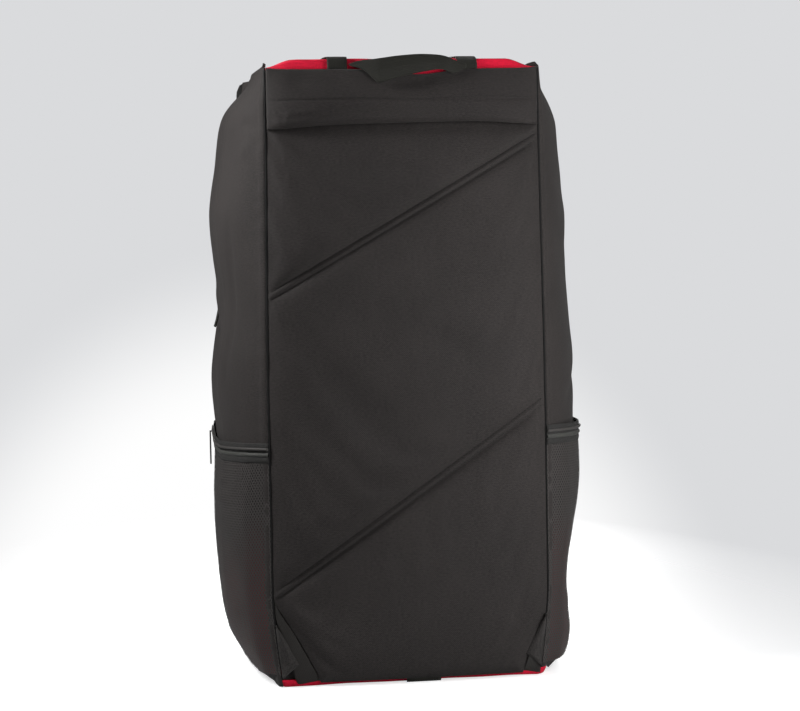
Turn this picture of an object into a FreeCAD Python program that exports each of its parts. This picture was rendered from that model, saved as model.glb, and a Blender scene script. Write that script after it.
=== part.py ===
"""Large travel bag that stands on end: padded back panel with stowed shoulder straps,
zipped front lid, zipped mesh side pockets, webbing handles. Millimetres.

+Z is up, +X is to the right of someone facing the back panel, and the back panel faces -Y.
The origin is on the floor, under the middle of the bag.
"""
import FreeCAD, Part
import os
from FreeCAD import Vector

# ---- driving sizes -------------------------------------------------------------------------
body_height = 776.0          # floor to the seam of the top panel
body_depth = 342.0           # face of the back panel to face of the front lid
back_width = 344.0           # back panel, seam to seam
front_width = 356.0          # front lid with its zip, seam to seam
side_width = 460.0           # widest part of the bag, across the two side panels
shoulder_width = 430.0       # across the side panels where the top slopes begin
top_width = 364.0            # across the side panels at the top seam
foot_width = 412.0           # across the side panels at the bottom seam
heel_width = 332.0           # back and front faces at the bottom seam
wall = 4.0                   # one layer of lined and padded cloth
fit = 0.3                    # clearance between neighbouring pieces

# heights and widths at which the side panels change slope
rim_height = 10.0            # red bottom panel turned up all round
foot_height = 50.0
calf_height = 130.0
waist_height = 250.0
belly_height = 420.0         # where the sides are widest
chest_drop = 176.0           # from the top seam down to the chest
shoulder_drop = 65.0         # from the top seam down the top slopes
ankle_width = 432.0          # side to side at foot_height
calf_width = 440.0           # side to side at calf_height
waist_width = 446.0
chest_width = 458.0
side_flat_start = 95.0       # back face to where the side panels run flat
side_flat_end = 257.0        # back face to where they turn in towards the lid
turn_rise = 0.61             # middle of each soft turn: this share of its width out from the seam
turn_run = 0.39              # and this share of its depth in from the seam

# top and bottom
top_rim = 6.0                # edge of the top panel above its seam
top_crown = 6.0              # rise of its middle above that edge
crown_inset = 50.0
bottom_skin = 3.0
board_thickness = 3.0
board_margin = 12.0

# back panel and the pocket for the shoulder straps behind it
skin = 3.0                   # quilted outer cloth
foam = 11.0
foam_margin = 8.0
strap_pocket_gap = 16.0      # foam to the inner back wall
band_height = 72.0           # stitched band across the top of the back
band_thickness = 4.0
mouth_gap = 6.0              # pocket mouth between band and panel
corner_cut_width = 50.0      # lower corners of the panel, cut on a slant
corner_cut_height = 97.0
piping_width = 5.0

# shoulder straps, buckles and lower webbing
strap_spacing = 160.0
strap_width = 62.0
strap_thickness = 10.0
strap_length = 535.0
webbing_width = 25.0
webbing_thickness = 1.6
buckle_width = 34.0
buckle_height = 30.0
buckle_thickness = 5.0
buckle_bar = 4.0
gusset_thickness = 2.5
wing_width = 24.0
wing_height = 61.0
bottom_webbing_width = 44.0

# handles
handle_span = 142.0
handle_width = 28.0
handle_thickness = 3.0
handle_stand_off = 12.0      # finger gap between the grab handle and the band
handle_end_run = 22.0        # sideways length of each slanting end
handle_tip_share = 0.6       # width of the band at its tip, as a share of its thickness
top_webbing_spacing = 164.0
carry_thickness = 3.0
carry_height = 170.0
carry_reach = 62.0
carry_middle = 375.0         # height of the middle of each carry handle
carry_plane = 214.5          # distance of the carry handles from the middle of the bag
carry_tab = 8.0              # sewn tab between side panel and handle

# zips
chain_width = 6.0
chain_thickness = 2.0
kick_height = 60.0           # fixed strip of the front, under the lid
slider_width = 12.0
slider_length = 18.0
slider_thickness = 5.4
pull_width = 8.0
pull_thickness = 2.0
pull_length = 32.0
main_slider_drop = 31.0      # from the top seam to the closed sliders
main_slider_low = 110.0      # height of the open sliders
pocket_slider_travel = 140.0

# side pockets
pocket_floor = 20.0
pocket_top = 296.0
pocket_swell = 12.0          # mesh stands this far off the side panel
pocket_mouth_swell = 5.0
zip_band_height = 24.0
zip_band_flat = 16.0         # part of the band that stands straight, for the slider
mesh_thickness = 1.6
pocket_wrap = 25.0           # how far the pocket runs past the front edge of the flat side

# ---- places worked out from the sizes ------------------------------------------------------
handle_proud = band_thickness + handle_stand_off + handle_thickness
turn_in = body_depth - side_flat_end
carry_root = 40.0            # depth of the carry handles' tabs past the flat side
carry_proud = carry_root + carry_tab + fit + carry_thickness / 2 + carry_reach - turn_in
overall_depth = handle_proud + body_depth + carry_proud
back_y = handle_proud - overall_depth / 2
front_y = back_y + body_depth
side_back_y = back_y + side_flat_start
side_front_y = back_y + side_flat_end
foam_back_y = back_y + skin + foam
wall_y = foam_back_y + strap_pocket_gap
panel_top = body_height - band_height - mouth_gap

# side to side, at each height: (height, back edge, side, front edge), all half widths
LEVELS = [
    (rim_height, heel_width / 2, foot_width / 2, heel_width / 2),
    (foot_height, back_width / 2, ankle_width / 2, front_width / 2),
    (calf_height, back_width / 2, calf_width / 2, front_width / 2),
    (waist_height, back_width / 2, waist_width / 2, front_width / 2),
    (belly_height, back_width / 2, side_width / 2, front_width / 2),
    (body_height - chest_drop, back_width / 2, chest_width / 2, front_width / 2),
    (body_height - shoulder_drop, back_width / 2, shoulder_width / 2, front_width / 2),
    (body_height, back_width / 2, top_width / 2, front_width / 2),
]


# ---- helpers -------------------------------------------------------------------------------
def box(x, y, z):
    """A block between two values on each axis, given in any order."""
    low = Vector(min(x), min(y), min(z))
    return Part.makeBox(max(x) - min(x), max(y) - min(y), max(z) - min(z), low)


def wire(points):
    return Part.makePolygon([Vector(*p) for p in points] + [Vector(*points[0])])


def prism_xz(outline, y_from, y_to):
    """A flat piece parallel to the back panel: outline in X and Z, thick along Y."""
    face = Part.Face(wire([(x, y_from, z) for x, z in outline]))
    return face.extrude(Vector(0, y_to - y_from, 0))


def prism_yz(outline, x_from, x_to):
    face = Part.Face(wire([(x_from, y, z) for y, z in outline]))
    return face.extrude(Vector(x_to - x_from, 0, 0))


def prism_xy(outline, z_from, z_to):
    face = Part.Face(wire([(x, y, z_from) for x, y in outline]))
    return face.extrude(Vector(0, 0, z_to - z_from))


def mirrored(shape):
    return shape.mirror(Vector(0, 0, 0), Vector(1, 0, 0))


def level_at(z):
    """Half widths of the bag at a height, straight between the levels."""
    for low, high in zip(LEVELS, LEVELS[1:]):
        if z <= high[0]:
            share = max(0.0, (z - low[0]) / (high[0] - low[0]))
            return [a + (b - a) * share for a, b in zip(low[1:], high[1:])]
    return list(LEVELS[-1][1:])


def side_path(z):
    """Outer points round the right side at a height, from the back seam to the front seam."""
    back, side, front = level_at(z)
    back_turn = (back + (side - back) * turn_rise, back_y + (side_back_y - back_y) * turn_run)
    front_turn = (front + (side - front) * turn_rise, front_y - (front_y - side_front_y) * turn_run)
    return [(back, back_y), back_turn, (side, side_back_y), (side, side_front_y), front_turn,
            (front, front_y)]


def side_x(z, y):
    """Outer face of the right side panel at a height and depth."""
    path = side_path(z)
    for near, far in zip(path, path[1:]):
        if y <= far[1]:
            return near[0] + (far[0] - near[0]) * (y - near[1]) / (far[1] - near[1])
    return path[-1][0]


def front_turn_y(z, x):
    """Depth at which the front turn of the right side has come in to a half width."""
    side, turn, seam = side_path(z)[3:]
    near, far = (side, turn) if x >= turn[0] else (turn, seam)
    return near[1] + (far[1] - near[1]) * (near[0] - x) / (near[0] - far[0])


def wrapped_sheet(levels, thickness):
    """A sheet round the right side. Each level is a height and its (x, y) outer points."""
    wires = []
    for z, path in levels:
        inner = [(x - thickness, y) for x, y in reversed(path)]
        wires.append(wire([(x, y, z) for x, y in list(path) + inner]))
    return Part.makeLoft(wires, True, True)


def outline_at(z, grow=0.0):
    """The whole outline of the bag at a height, wider all round by grow."""
    right = [(x + grow, y) for x, y in side_path(z)]
    right[0] = (right[0][0], back_y - grow)
    right[-1] = (right[-1][0], front_y + grow)
    return right + [(-x, y) for x, y in reversed(right)]


def slab(low_z, low_outline, high_z, high_outline):
    low = wire([(x, y, low_z) for x, y in low_outline])
    high = wire([(x, y, high_z) for x, y in high_outline])
    return Part.makeLoft([low, high], True, True)


def band_along(points, width):
    """Outline of a flat strap of one width that follows points in its own plane."""
    def normal(a, b):
        along = Vector(b[0] - a[0], b[1] - a[1], 0).normalize()
        return Vector(-along.y, along.x, 0)
    sides = [normal(a, b) for a, b in zip(points, points[1:])]
    left, right = [], []
    for index, (px, pz) in enumerate(points):
        before = sides[max(index - 1, 0)]
        after = sides[min(index, len(sides) - 1)]
        mitre = (before + after) * (width / (2 * (1 + before.dot(after))))
        left.append((px + mitre.x, pz + mitre.y))
        right.append((px - mitre.x, pz - mitre.y))
    return left + right[::-1]


# ---- shell of the bag ----------------------------------------------------------------------
def side_panel():
    return wrapped_sheet([(level[0], side_path(level[0])) for level in LEVELS], wall)


def top_panel():
    edge = outline_at(body_height)
    rim = slab(body_height, edge, body_height + top_rim, edge)
    crown_top = outline_at(body_height, -crown_inset)
    crown = slab(body_height + top_rim, edge, body_height + top_rim + top_crown, crown_top)
    return rim.fuse(crown).removeSplitter()


def bottom_panel():
    edge = outline_at(rim_height)
    inner = outline_at(rim_height, -wall)
    tray = slab(0, edge, rim_height, edge).cut(slab(bottom_skin, inner, rim_height + 1, inner))
    half = bottom_webbing_width / 2 + fit
    thin = webbing_thickness + fit
    return tray.cut(box((-half, half), (back_y - 1, front_y + 1), (-1, thin)))


def base_board():
    outline = outline_at(rim_height, -wall - board_margin)
    low = bottom_skin + fit
    return slab(low, outline, low + board_thickness, outline)


def bottom_webbing():
    """Flat webbing under the base, sewn down, with both ends turned up over the rim."""
    half = bottom_webbing_width / 2
    ends = (back_y - fit, front_y + fit)
    flat = box((-half, half), ends, (0, webbing_thickness))
    back_end = box((-half, half), (ends[0] - webbing_thickness, ends[0]), (0, rim_height))
    front_end = box((-half, half), (ends[1], ends[1] + webbing_thickness), (0, rim_height))
    return flat.fuse([back_end, front_end]).removeSplitter()


def kick_panel():
    """Fixed lower strip of the front. Its bottom corners follow the narrower foot."""
    low = heel_width / 2 - wall - fit
    high = front_width / 2 - wall - fit
    outline = [(-low, rim_height), (low, rim_height), (high, foot_height), (high, kick_height),
               (-high, kick_height), (-high, foot_height)]
    return prism_xz(outline, front_y - wall, front_y)


# ---- back ----------------------------------------------------------------------------------
def back_outline(margin, top):
    """The panel's outline inside the side seams, with both lower corners cut off."""
    half = back_width / 2 - wall - fit - margin
    low = rim_height + fit + margin
    right = [(half - corner_cut_width, low), (half, low + corner_cut_height), (half, top)]
    return right + [(-x, z) for x, z in reversed(right)]


def back_panel():
    return prism_xz(back_outline(0, panel_top), back_y, back_y + skin)


def back_foam():
    outline = back_outline(foam_margin, panel_top - foam_margin)
    return prism_xz(outline, back_y + skin, foam_back_y)


def upper_band():
    half = back_width / 2
    low = body_height - band_height
    return box((-half, half), (back_y - band_thickness, back_y - fit), (low, body_height - fit))


def back_wall():
    """Inner wall between the strap pocket and the main compartment, as wide as the bag."""
    right = []
    for z in [rim_height + fit] + [level[0] for level in LEVELS[1:-1]] + [body_height - fit]:
        right.append((side_x(z, wall_y) - wall - fit, z))
    outline = right + [(-x, z) for x, z in reversed(right)]
    return prism_xz(outline, wall_y, wall_y + wall)


def strap_plane():
    """Depth of the lower webbing: just behind the foam."""
    return foam_back_y + fit


def corner_gusset():
    """Cloth behind the cut lower corner, under the lower webbing."""
    half = back_width / 2 - wall - fit
    low = rim_height + fit
    foot_half = heel_width / 2 - wall - fit
    front = strap_plane() + webbing_thickness + fit
    outline = [(foot_half - corner_cut_width, low), (foot_half, low), (half, foot_height),
               (half, low + corner_cut_height)]
    return prism_xz(outline, front, front + gusset_thickness)


def piping():
    """Rolled edge of the seam between back panel and side panel."""
    half = back_width / 2
    foot_half = heel_width / 2
    outline = [(foot_half, rim_height), (foot_half + piping_width, rim_height),
               (half + piping_width, foot_height), (half + piping_width, body_height - fit),
               (half, body_height - fit), (half, foot_height)]
    return prism_xz(outline, back_y - band_thickness, back_y - fit)


# ---- stowed shoulder straps ----------------------------------------------------------------
strap_top = body_height - fit
strap_bottom = strap_top - strap_length
strap_middle_y = foam_back_y + fit + strap_thickness / 2


def shoulder_strap():
    x = strap_spacing / 2
    deep = (strap_middle_y - strap_thickness / 2, strap_middle_y + strap_thickness / 2)
    strap = box((x - strap_width / 2, x + strap_width / 2), deep, (strap_bottom, strap_top))
    upright = [e for e in strap.Edges
               if e.Length > strap_thickness - 0.1 and e.Length < strap_thickness + 0.1]
    return strap.makeFillet(strap_width / 4, upright)


def ladder_lock():
    """Plastic frame buckle with two slots, at the lower end of a shoulder strap."""
    x = strap_spacing / 2
    top = strap_bottom - fit
    low = top - buckle_height
    half = buckle_width / 2
    deep = (strap_middle_y - buckle_thickness / 2, strap_middle_y + buckle_thickness / 2)
    frame = box((x - half, x + half), deep, (low, top))
    slot_height = (buckle_height - 3 * buckle_bar) / 2
    for index in range(2):
        slot_low = low + buckle_bar + index * (slot_height + buckle_bar)
        frame = frame.cut(box((x - half + buckle_bar, x + half - buckle_bar),
                              (deep[0] - 1, deep[1] + 1), (slot_low, slot_low + slot_height)))
    return frame


def lower_strap_route():
    """From the bottom seam up beside the cut corner, then in behind the panel."""
    half = back_width / 2 - wall - fit
    bend = (half - webbing_width / 2 - fit, rim_height + corner_cut_height)
    start = (bend[0] - corner_cut_width / 2, rim_height + webbing_width / 4)
    end = (strap_spacing / 2 + buckle_width / 4, strap_bottom - buckle_height - 2 * fit)
    return [start, bend, end]


def lower_strap():
    outline = band_along(lower_strap_route(), webbing_width)
    front = strap_plane()
    strap = prism_xz(outline, front, front + webbing_thickness)
    past = (front - webbing_thickness, front + 2 * webbing_thickness)
    return strap.cut(box((0, side_width), past, (-webbing_width, rim_height + fit)))


def wing_tab():
    """Triangle of cloth sewn in the side seam, which spreads the pull of the webbing."""
    half = back_width / 2 - wall - fit
    low = rim_height + webbing_width / 3
    outline = [(half, foot_height), (half, foot_height + wing_height * 0.7),
               (half - wing_width, low + wing_height * 0.25), (half - webbing_thickness * 4, low)]
    back = strap_plane() - fit
    return prism_xz(outline, back - webbing_thickness, back)


# ---- webbing and handles -------------------------------------------------------------------
def top_webbing():
    """Webbing sewn across the top panel, from the back seam to the front seam."""
    x = top_webbing_spacing / 2
    edge = body_height + top_rim
    peak = edge + top_crown
    under = [(back_y, body_height), (back_y, edge + fit),
             (back_y + crown_inset, peak + fit), (front_y - crown_inset, peak + fit),
             (front_y, edge + fit)]
    over = [(y, z + webbing_thickness) for y, z in reversed(under[1:])]
    tail = [(back_y - webbing_thickness, edge), (back_y - webbing_thickness, body_height)]
    outline = [(back_y - fit, body_height), (back_y - fit, edge + fit)] + under[1:] + over + tail
    return prism_yz(outline, x - webbing_width / 2, x + webbing_width / 2)


handle_hinge_y = back_y - band_thickness - handle_thickness / 2 - fit
handle_hinge_z = body_height
handle_face_y = back_y - band_thickness - handle_stand_off


def top_handle():
    """Grab handle: a flat band held off the back, narrowed to a roll at each end."""
    half_span = handle_span / 2
    run = half_span - handle_end_run
    half_thick = handle_thickness / 2
    back = handle_face_y - handle_thickness
    path = [(-half_span, handle_hinge_y + half_thick), (-run, handle_face_y),
            (run, handle_face_y), (half_span, handle_hinge_y + half_thick),
            (half_span, handle_hinge_y - half_thick), (run, back), (-run, back),
            (-half_span, handle_hinge_y - half_thick)]
    low = handle_hinge_z - handle_width / 2
    band = prism_xy(path, low, low + handle_width)
    tip = half_thick * handle_tip_share
    right = [(half_span, -tip), (half_span, tip), (run, handle_width / 2)]
    upper = right[1:] + [(-x, z) for x, z in reversed(right[1:])]
    outline = [(x, handle_hinge_z + z) for x, z in upper + [(-x, -z) for x, z in upper]]
    band = band.common(prism_xz(outline, back - 1, back_y))
    roll_length = handle_end_run / 3
    for start in (-half_span, half_span - roll_length):
        roll = Part.makeCylinder(half_thick, roll_length,
                                 Vector(start, handle_hinge_y, handle_hinge_z), Vector(1, 0, 0))
        band = band.fuse(roll)
    return band.removeSplitter()


carry_hinge_y = side_front_y + carry_root + carry_tab + fit + carry_thickness / 2


def carry_handle():
    """Flat webbing loop that stands forward of the side panel's front edge."""
    half = carry_height / 2
    reach = carry_hinge_y + carry_reach
    corner = webbing_width
    outer = [(carry_hinge_y, -half), (reach - corner, -half), (reach, -half + corner),
             (reach, half - corner), (reach - corner, half), (carry_hinge_y, half)]
    inner_half = half - webbing_width
    inner_reach = reach - webbing_width
    inner_corner = corner / 2
    inner = [(carry_hinge_y - carry_thickness, -inner_half), (inner_reach - inner_corner, -inner_half),
             (inner_reach, -inner_half + inner_corner), (inner_reach, inner_half - inner_corner),
             (inner_reach - inner_corner, inner_half), (carry_hinge_y - carry_thickness, inner_half)]
    x = (carry_plane - carry_thickness / 2, carry_plane + carry_thickness / 2)
    loop = prism_yz([(y, carry_middle + z) for y, z in outer], x[0], x[1])
    loop = loop.cut(prism_yz([(y, carry_middle + z) for y, z in inner], x[0] - 1, x[1] + 1))
    for end in (-half, inner_half):
        roll = Part.makeCylinder(carry_thickness / 2, webbing_width,
                                 Vector(carry_plane, carry_hinge_y, carry_middle + end))
        loop = loop.fuse(roll)
    return loop.removeSplitter()


def carry_tabs():
    """Two sewn tabs that hold one carry handle's ends to the side panel."""
    near = carry_plane - carry_thickness / 2
    far = carry_plane + carry_thickness / 2

    def face_depth(x, low):
        return max(front_turn_y(low, x), front_turn_y(low + webbing_width, x))

    tip = side_front_y + carry_root + carry_tab
    half = carry_height / 2
    tabs = []
    for low in (carry_middle - half, carry_middle + half - webbing_width):
        outline = [(near, face_depth(near, low) + fit), (far, face_depth(far, low) + fit),
                   (far, tip), (near, tip)]
        tabs.append(prism_xy(outline, low, low + webbing_width))
    return Part.makeCompound(tabs)


# ---- front lid and main zip ----------------------------------------------------------------
lid_half = front_width / 2 - wall - fit
lid_low = kick_height + fit
lid_high = body_height - fit
chain_y = (front_y + fit, front_y + fit + chain_thickness)


def front_lid():
    return box((-lid_half, lid_half), (front_y - wall, front_y), (lid_low, lid_high))


def chain(inner_x, top_z):
    """Half of the main zip: up one side, across the top and down the other side."""
    outer_x = inner_x + chain_width
    legs = box((-outer_x, outer_x), chain_y, (lid_low, top_z + chain_width))
    return legs.cut(box((-inner_x, inner_x), (chain_y[0] - 1, chain_y[1] + 1),
                        (lid_low - 1, top_z)))


def body_chain():
    return chain(lid_half + 2 * fit, body_height)


def lid_chain():
    return chain(lid_half - chain_width, lid_high - chain_width)


main_slider_x = lid_half + 2 * fit + slider_width / 2
main_slider_face = chain_y[1] + fit + slider_thickness
main_pull_y = main_slider_face + fit + pull_thickness / 2
main_slider_height = body_height - main_slider_drop
main_slider_travel = main_slider_height - main_slider_low


def main_slider():
    half = slider_width / 2
    return box((main_slider_x - half, main_slider_x + half),
               (chain_y[1] + fit, main_slider_face),
               (main_slider_height - slider_length / 2, main_slider_height + slider_length / 2))


def main_pull():
    """Metal tab that hangs from the slider and turns on a round end."""
    half = pull_width / 2
    half_thick = pull_thickness / 2
    tab = box((main_slider_x - half, main_slider_x + half),
              (main_pull_y - half_thick, main_pull_y + half_thick),
              (main_slider_height - pull_length, main_slider_height))
    end = Part.makeCylinder(half_thick, pull_width,
                            Vector(main_slider_x - half, main_pull_y, main_slider_height),
                            Vector(1, 0, 0))
    return tab.fuse(end).removeSplitter()


# ---- side pockets --------------------------------------------------------------------------
def pocket_path(z, swell, edge):
    """Outer points of the pocket at a height: it swells between its two sewn edges."""
    end_y = side_front_y + pocket_wrap
    seam, turn, side_back, side_front = side_path(z)[:4]
    swollen = [(x + swell, y) for x, y in (turn, side_back, side_front)]
    return [(seam[0] + edge, back_y)] + swollen + [(side_x(z, end_y) + edge, end_y)]


sewn_edge = mesh_thickness + fit
pocket_wall_x = level_at(pocket_top + fit + zip_band_flat)[1] + pocket_mouth_swell


def mesh_pocket():
    heights = [(pocket_floor, sewn_edge), (foot_height, pocket_swell * 0.6),
               (calf_height, pocket_swell), (waist_height, pocket_swell),
               (pocket_top, pocket_mouth_swell)]
    levels = [(z, pocket_path(z, swell, sewn_edge)) for z, swell in heights]
    return wrapped_sheet(levels, mesh_thickness)


def pocket_zip():
    low = pocket_top + fit
    heights = [(low, pocket_mouth_swell), (low + zip_band_flat, pocket_mouth_swell),
               (low + zip_band_height, sewn_edge)]
    levels = [(z, pocket_path(z, swell, sewn_edge)) for z, swell in heights]
    return wrapped_sheet(levels, mesh_thickness)


pocket_slider_y = side_front_y - slider_length / 2
pocket_slider_z = pocket_top + fit + zip_band_flat / 2
pocket_slider_face = pocket_wall_x + fit + slider_thickness
pocket_pull_x = pocket_slider_face + fit + pull_thickness / 2


def pocket_slider():
    half = slider_width / 2
    half_long = slider_length / 2
    return box((pocket_wall_x + fit, pocket_slider_face),
               (pocket_slider_y - half_long, pocket_slider_y + half_long),
               (pocket_slider_z - half, pocket_slider_z + half))


def pocket_pull():
    half = pull_width / 2
    half_thick = pull_thickness / 2
    tab = box((pocket_pull_x - half_thick, pocket_pull_x + half_thick),
              (pocket_slider_y - half, pocket_slider_y + half),
              (pocket_slider_z - pull_length, pocket_slider_z))
    end = Part.makeCylinder(half_thick, pull_width,
                            Vector(pocket_pull_x, pocket_slider_y - half, pocket_slider_z),
                            Vector(0, 1, 0))
    return tab.fuse(end).removeSplitter()


# ---- all pieces ----------------------------------------------------------------------------
PAIRS = {
    "side_panel": side_panel,
    "corner_gusset": corner_gusset,
    "piping": piping,
    "shoulder_strap": shoulder_strap,
    "ladder_lock": ladder_lock,
    "lower_strap": lower_strap,
    "wing_tab": wing_tab,
    "top_webbing": top_webbing,
    "carry_handle": carry_handle,
    "carry_tabs": carry_tabs,
    "main_slider": main_slider,
    "main_pull": main_pull,
    "mesh_pocket": mesh_pocket,
    "pocket_zip": pocket_zip,
    "pocket_slider": pocket_slider,
    "pocket_pull": pocket_pull,
}
SINGLES = {
    "top_panel": top_panel,
    "bottom_panel": bottom_panel,
    "base_board": base_board,
    "bottom_webbing": bottom_webbing,
    "kick_panel": kick_panel,
    "back_panel": back_panel,
    "back_foam": back_foam,
    "upper_band": upper_band,
    "back_wall": back_wall,
    "top_handle": top_handle,
    "front_lid": front_lid,
    "main_zip_body_half": body_chain,
    "main_zip_lid_half": lid_chain,
}


def all_pieces():
    pieces = {name: make() for name, make in SINGLES.items()}
    for name, make in PAIRS.items():
        right = make()
        pieces[name + "_right"] = right
        pieces[name + "_left"] = mirrored(right)
    return pieces


def main():
    os.makedirs("parts", exist_ok=True)
    for name, shape in all_pieces().items():
        if not shape.isValid():
            print("not valid:", name)
        shape.exportStep("parts/" + name + ".step")


main()
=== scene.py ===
"""Looks of the large travel bag: cloth, mesh, webbing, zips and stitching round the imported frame.

Metres, in the frame's own axes: +Z up, the padded back panel faces -Y.
"""
import bmesh
import bpy
import math
import numpy as np
from mathutils import Matrix, Vector, noise


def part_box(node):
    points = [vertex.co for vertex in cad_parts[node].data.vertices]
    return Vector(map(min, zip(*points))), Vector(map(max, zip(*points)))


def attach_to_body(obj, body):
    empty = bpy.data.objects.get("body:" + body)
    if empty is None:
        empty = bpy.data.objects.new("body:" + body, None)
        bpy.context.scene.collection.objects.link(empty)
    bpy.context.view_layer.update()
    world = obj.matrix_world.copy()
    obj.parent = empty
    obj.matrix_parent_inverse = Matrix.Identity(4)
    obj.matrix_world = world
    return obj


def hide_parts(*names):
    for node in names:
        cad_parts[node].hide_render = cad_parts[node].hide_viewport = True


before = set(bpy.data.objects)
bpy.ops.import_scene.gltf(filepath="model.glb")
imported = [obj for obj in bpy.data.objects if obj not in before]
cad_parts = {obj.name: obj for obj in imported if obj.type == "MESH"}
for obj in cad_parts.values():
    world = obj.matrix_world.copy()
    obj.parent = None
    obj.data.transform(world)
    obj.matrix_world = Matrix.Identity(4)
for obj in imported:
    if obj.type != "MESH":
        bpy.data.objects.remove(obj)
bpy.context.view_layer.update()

# ---- sizes from the frame ------------------------------------------------------------------
MM = 0.001
LEFT, RIGHT = -1, 1
SIDE_NAME = {LEFT: "left", RIGHT: "right"}
LID_LOW, LID_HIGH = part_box("front_lid")
SIDE_LOW, SIDE_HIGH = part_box("side_panel_right")
back_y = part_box("back_panel")[0].y
front_y = LID_HIGH.y
pocket_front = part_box("mesh_pocket_right")[1].y
seam_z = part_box("top_panel")[0].z
rim_z = SIDE_LOW.z
SIDE_POINTS = np.array([v.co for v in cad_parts["side_panel_right"].data.vertices])


def side_levels():
    """Heights and half widths (back, side, front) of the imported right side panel."""
    rows = []
    for z in sorted(set(np.round(SIDE_POINTS[:, 2], 4))):
        level = SIDE_POINTS[np.abs(SIDE_POINTS[:, 2] - z) < 0.2 * MM]
        back = level[level[:, 1] < back_y + MM]
        front = level[level[:, 1] > front_y - MM]
        if len(back) and len(front):
            rows.append((z, back[:, 0].max(), level[:, 0].max(), front[:, 0].max()))
    return np.array(rows)


LEVELS = side_levels()
flat_points = SIDE_POINTS[SIDE_POINTS[:, 0] > SIDE_HIGH.x - 0.5 * MM]
flat_from = flat_points[:, 1].min()
flat_to = flat_points[:, 1].max()


# ---- small mathematics ---------------------------------------------------------------------
def smoothed(heights, values, spread):
    """Straight lines through the levels, rounded off over about one spread."""
    grid = np.arange(heights[0] - 0.2, heights[-1] + 0.2, 2 * MM)
    line = np.interp(grid, heights, values)
    reach = np.arange(-3 * spread, 3 * spread + MM, 2 * MM)
    weight = np.exp(-0.5 * (reach / spread) ** 2)
    line = np.convolve(np.pad(line, len(reach) // 2, mode="edge"), weight / weight.sum(), "valid")
    return grid, line[:len(grid)]


PROFILES = [smoothed(LEVELS[:, 0], LEVELS[:, 1 + k], spread)
            for k, spread in enumerate((12 * MM, 8 * MM, 12 * MM))]


def bump(value, centre, spread):
    return np.exp(-0.5 * ((value - centre) / spread) ** 2)


def ease(value, low, high):
    """0 below low, 1 above high, smooth between."""
    t = np.clip((value - low) / (high - low), 0, 1)
    return t * t * (3 - 2 * t)


# Soft bulges and dents of the stuffed sides, as (how far out in mm, height, spread).
BULGES = {LEFT: [(6, 0.385, 0.050), (-9, 0.470, 0.050), (3, 0.60, 0.05), (2, 0.20, 0.06), (4, 0.733, 0.016),
                 (-14, 0.0, 0.035)],
          RIGHT: [(7, 0.36, 0.07), (-4, 0.58, 0.07), (-11, 0.11, 0.05), (8, 0.25, 0.05), (8, 0.03, 0.03),
                  (3, 0.735, 0.02)]}


def side_sag(sign, z):
    """How far a side stands out from its pattern at a height."""
    return MM * sum(size * bump(z, centre, spread) for size, centre, spread in BULGES[sign])


def seam_half(z):
    """Half the back panel between its seams: a little wider over the lower half."""
    base = np.interp(z, *PROFILES[0])
    return base + MM * 5 * ease(z, 0.04, 0.12) * (1 - ease(z, 0.30, 0.80))


def fold(a, b, start, end, width, height_mm):
    """A long soft wrinkle between two points of a surface's own plane; a crease if its height is negative."""
    ax, ay = start
    bx, by = end
    length = math.hypot(bx - ax, by - ay)
    ux, uy = (bx - ax) / length, (by - ay) / length
    along = (a - ax) * ux + (b - ay) * uy
    across = -(a - ax) * uy + (b - ay) * ux
    ends = ease(along, 0, 0.3 * length) * (1 - ease(along, 0.7 * length, length))
    return height_mm * MM * ends * np.exp(-0.5 * (across / width) ** 2)


def folds(a, b, rows):
    return sum(fold(a, b, *row) for row in rows)


def lumps(points, scale, seed):
    """Smooth noise from -1 to 1 at each point, the same on every run."""
    shift = Vector((seed * 7.3, seed * 3.1, seed * 5.7))
    flat = points.reshape(-1, 3)
    values = [noise.noise(Vector(p) / scale + shift) for p in flat]
    return np.array(values).reshape(points.shape[:-1])


# ---- building meshes -----------------------------------------------------------------------
def finish_object(obj, material, smooth=True):
    obj.data.materials.clear()
    obj.data.materials.append(material)
    for polygon in obj.data.polygons:
        polygon.use_smooth = smooth
    return obj


def mesh_object(name, vertices, faces, material, smooth=True):
    mesh = bpy.data.meshes.new(name)
    mesh.from_pydata([tuple(v) for v in vertices], [], faces)
    mesh.validate()
    obj = bpy.data.objects.new(name, mesh)
    bpy.context.scene.collection.objects.link(obj)
    return finish_object(obj, material, smooth)


def grid_faces(rows, columns, start=0, closed=False):
    faces = []
    for i in range(rows - 1):
        for j in range(columns if closed else columns - 1):
            k = (j + 1) % columns
            a = start + i * columns
            b = a + columns
            faces.append((a + j, a + k, b + k, b + j))
    return faces


def ring_faces(rings, around, start=0):
    """Faces of a closed form made of equal rings, with both ends filled."""
    faces = grid_faces(rings, around, start, closed=True)
    faces.append(tuple(start + k for k in reversed(range(around))))
    last = start + (rings - 1) * around
    faces.append(tuple(last + k for k in range(around)))
    return faces


def add_cloth_map(obj, places):
    """A UV map in metres along the cloth, so weaves keep their real size, from each vertex's place on it."""
    layer = obj.data.uv_layers.new(name="cloth")
    corners = np.zeros(len(obj.data.loops), dtype=np.int32)
    obj.data.loops.foreach_get("vertex_index", corners)
    layer.data.foreach_set("uv", places[corners].astype(np.float32).ravel())


def steps_along(points, axis):
    """Distance from the first point to each point of a path, or along one axis of a grid."""
    steps = np.linalg.norm(np.diff(points, axis=axis), axis=-1)
    first = np.zeros_like(np.take(steps, [0], axis=axis))
    return np.concatenate([first, np.cumsum(steps, axis=axis)], axis=axis)


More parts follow.
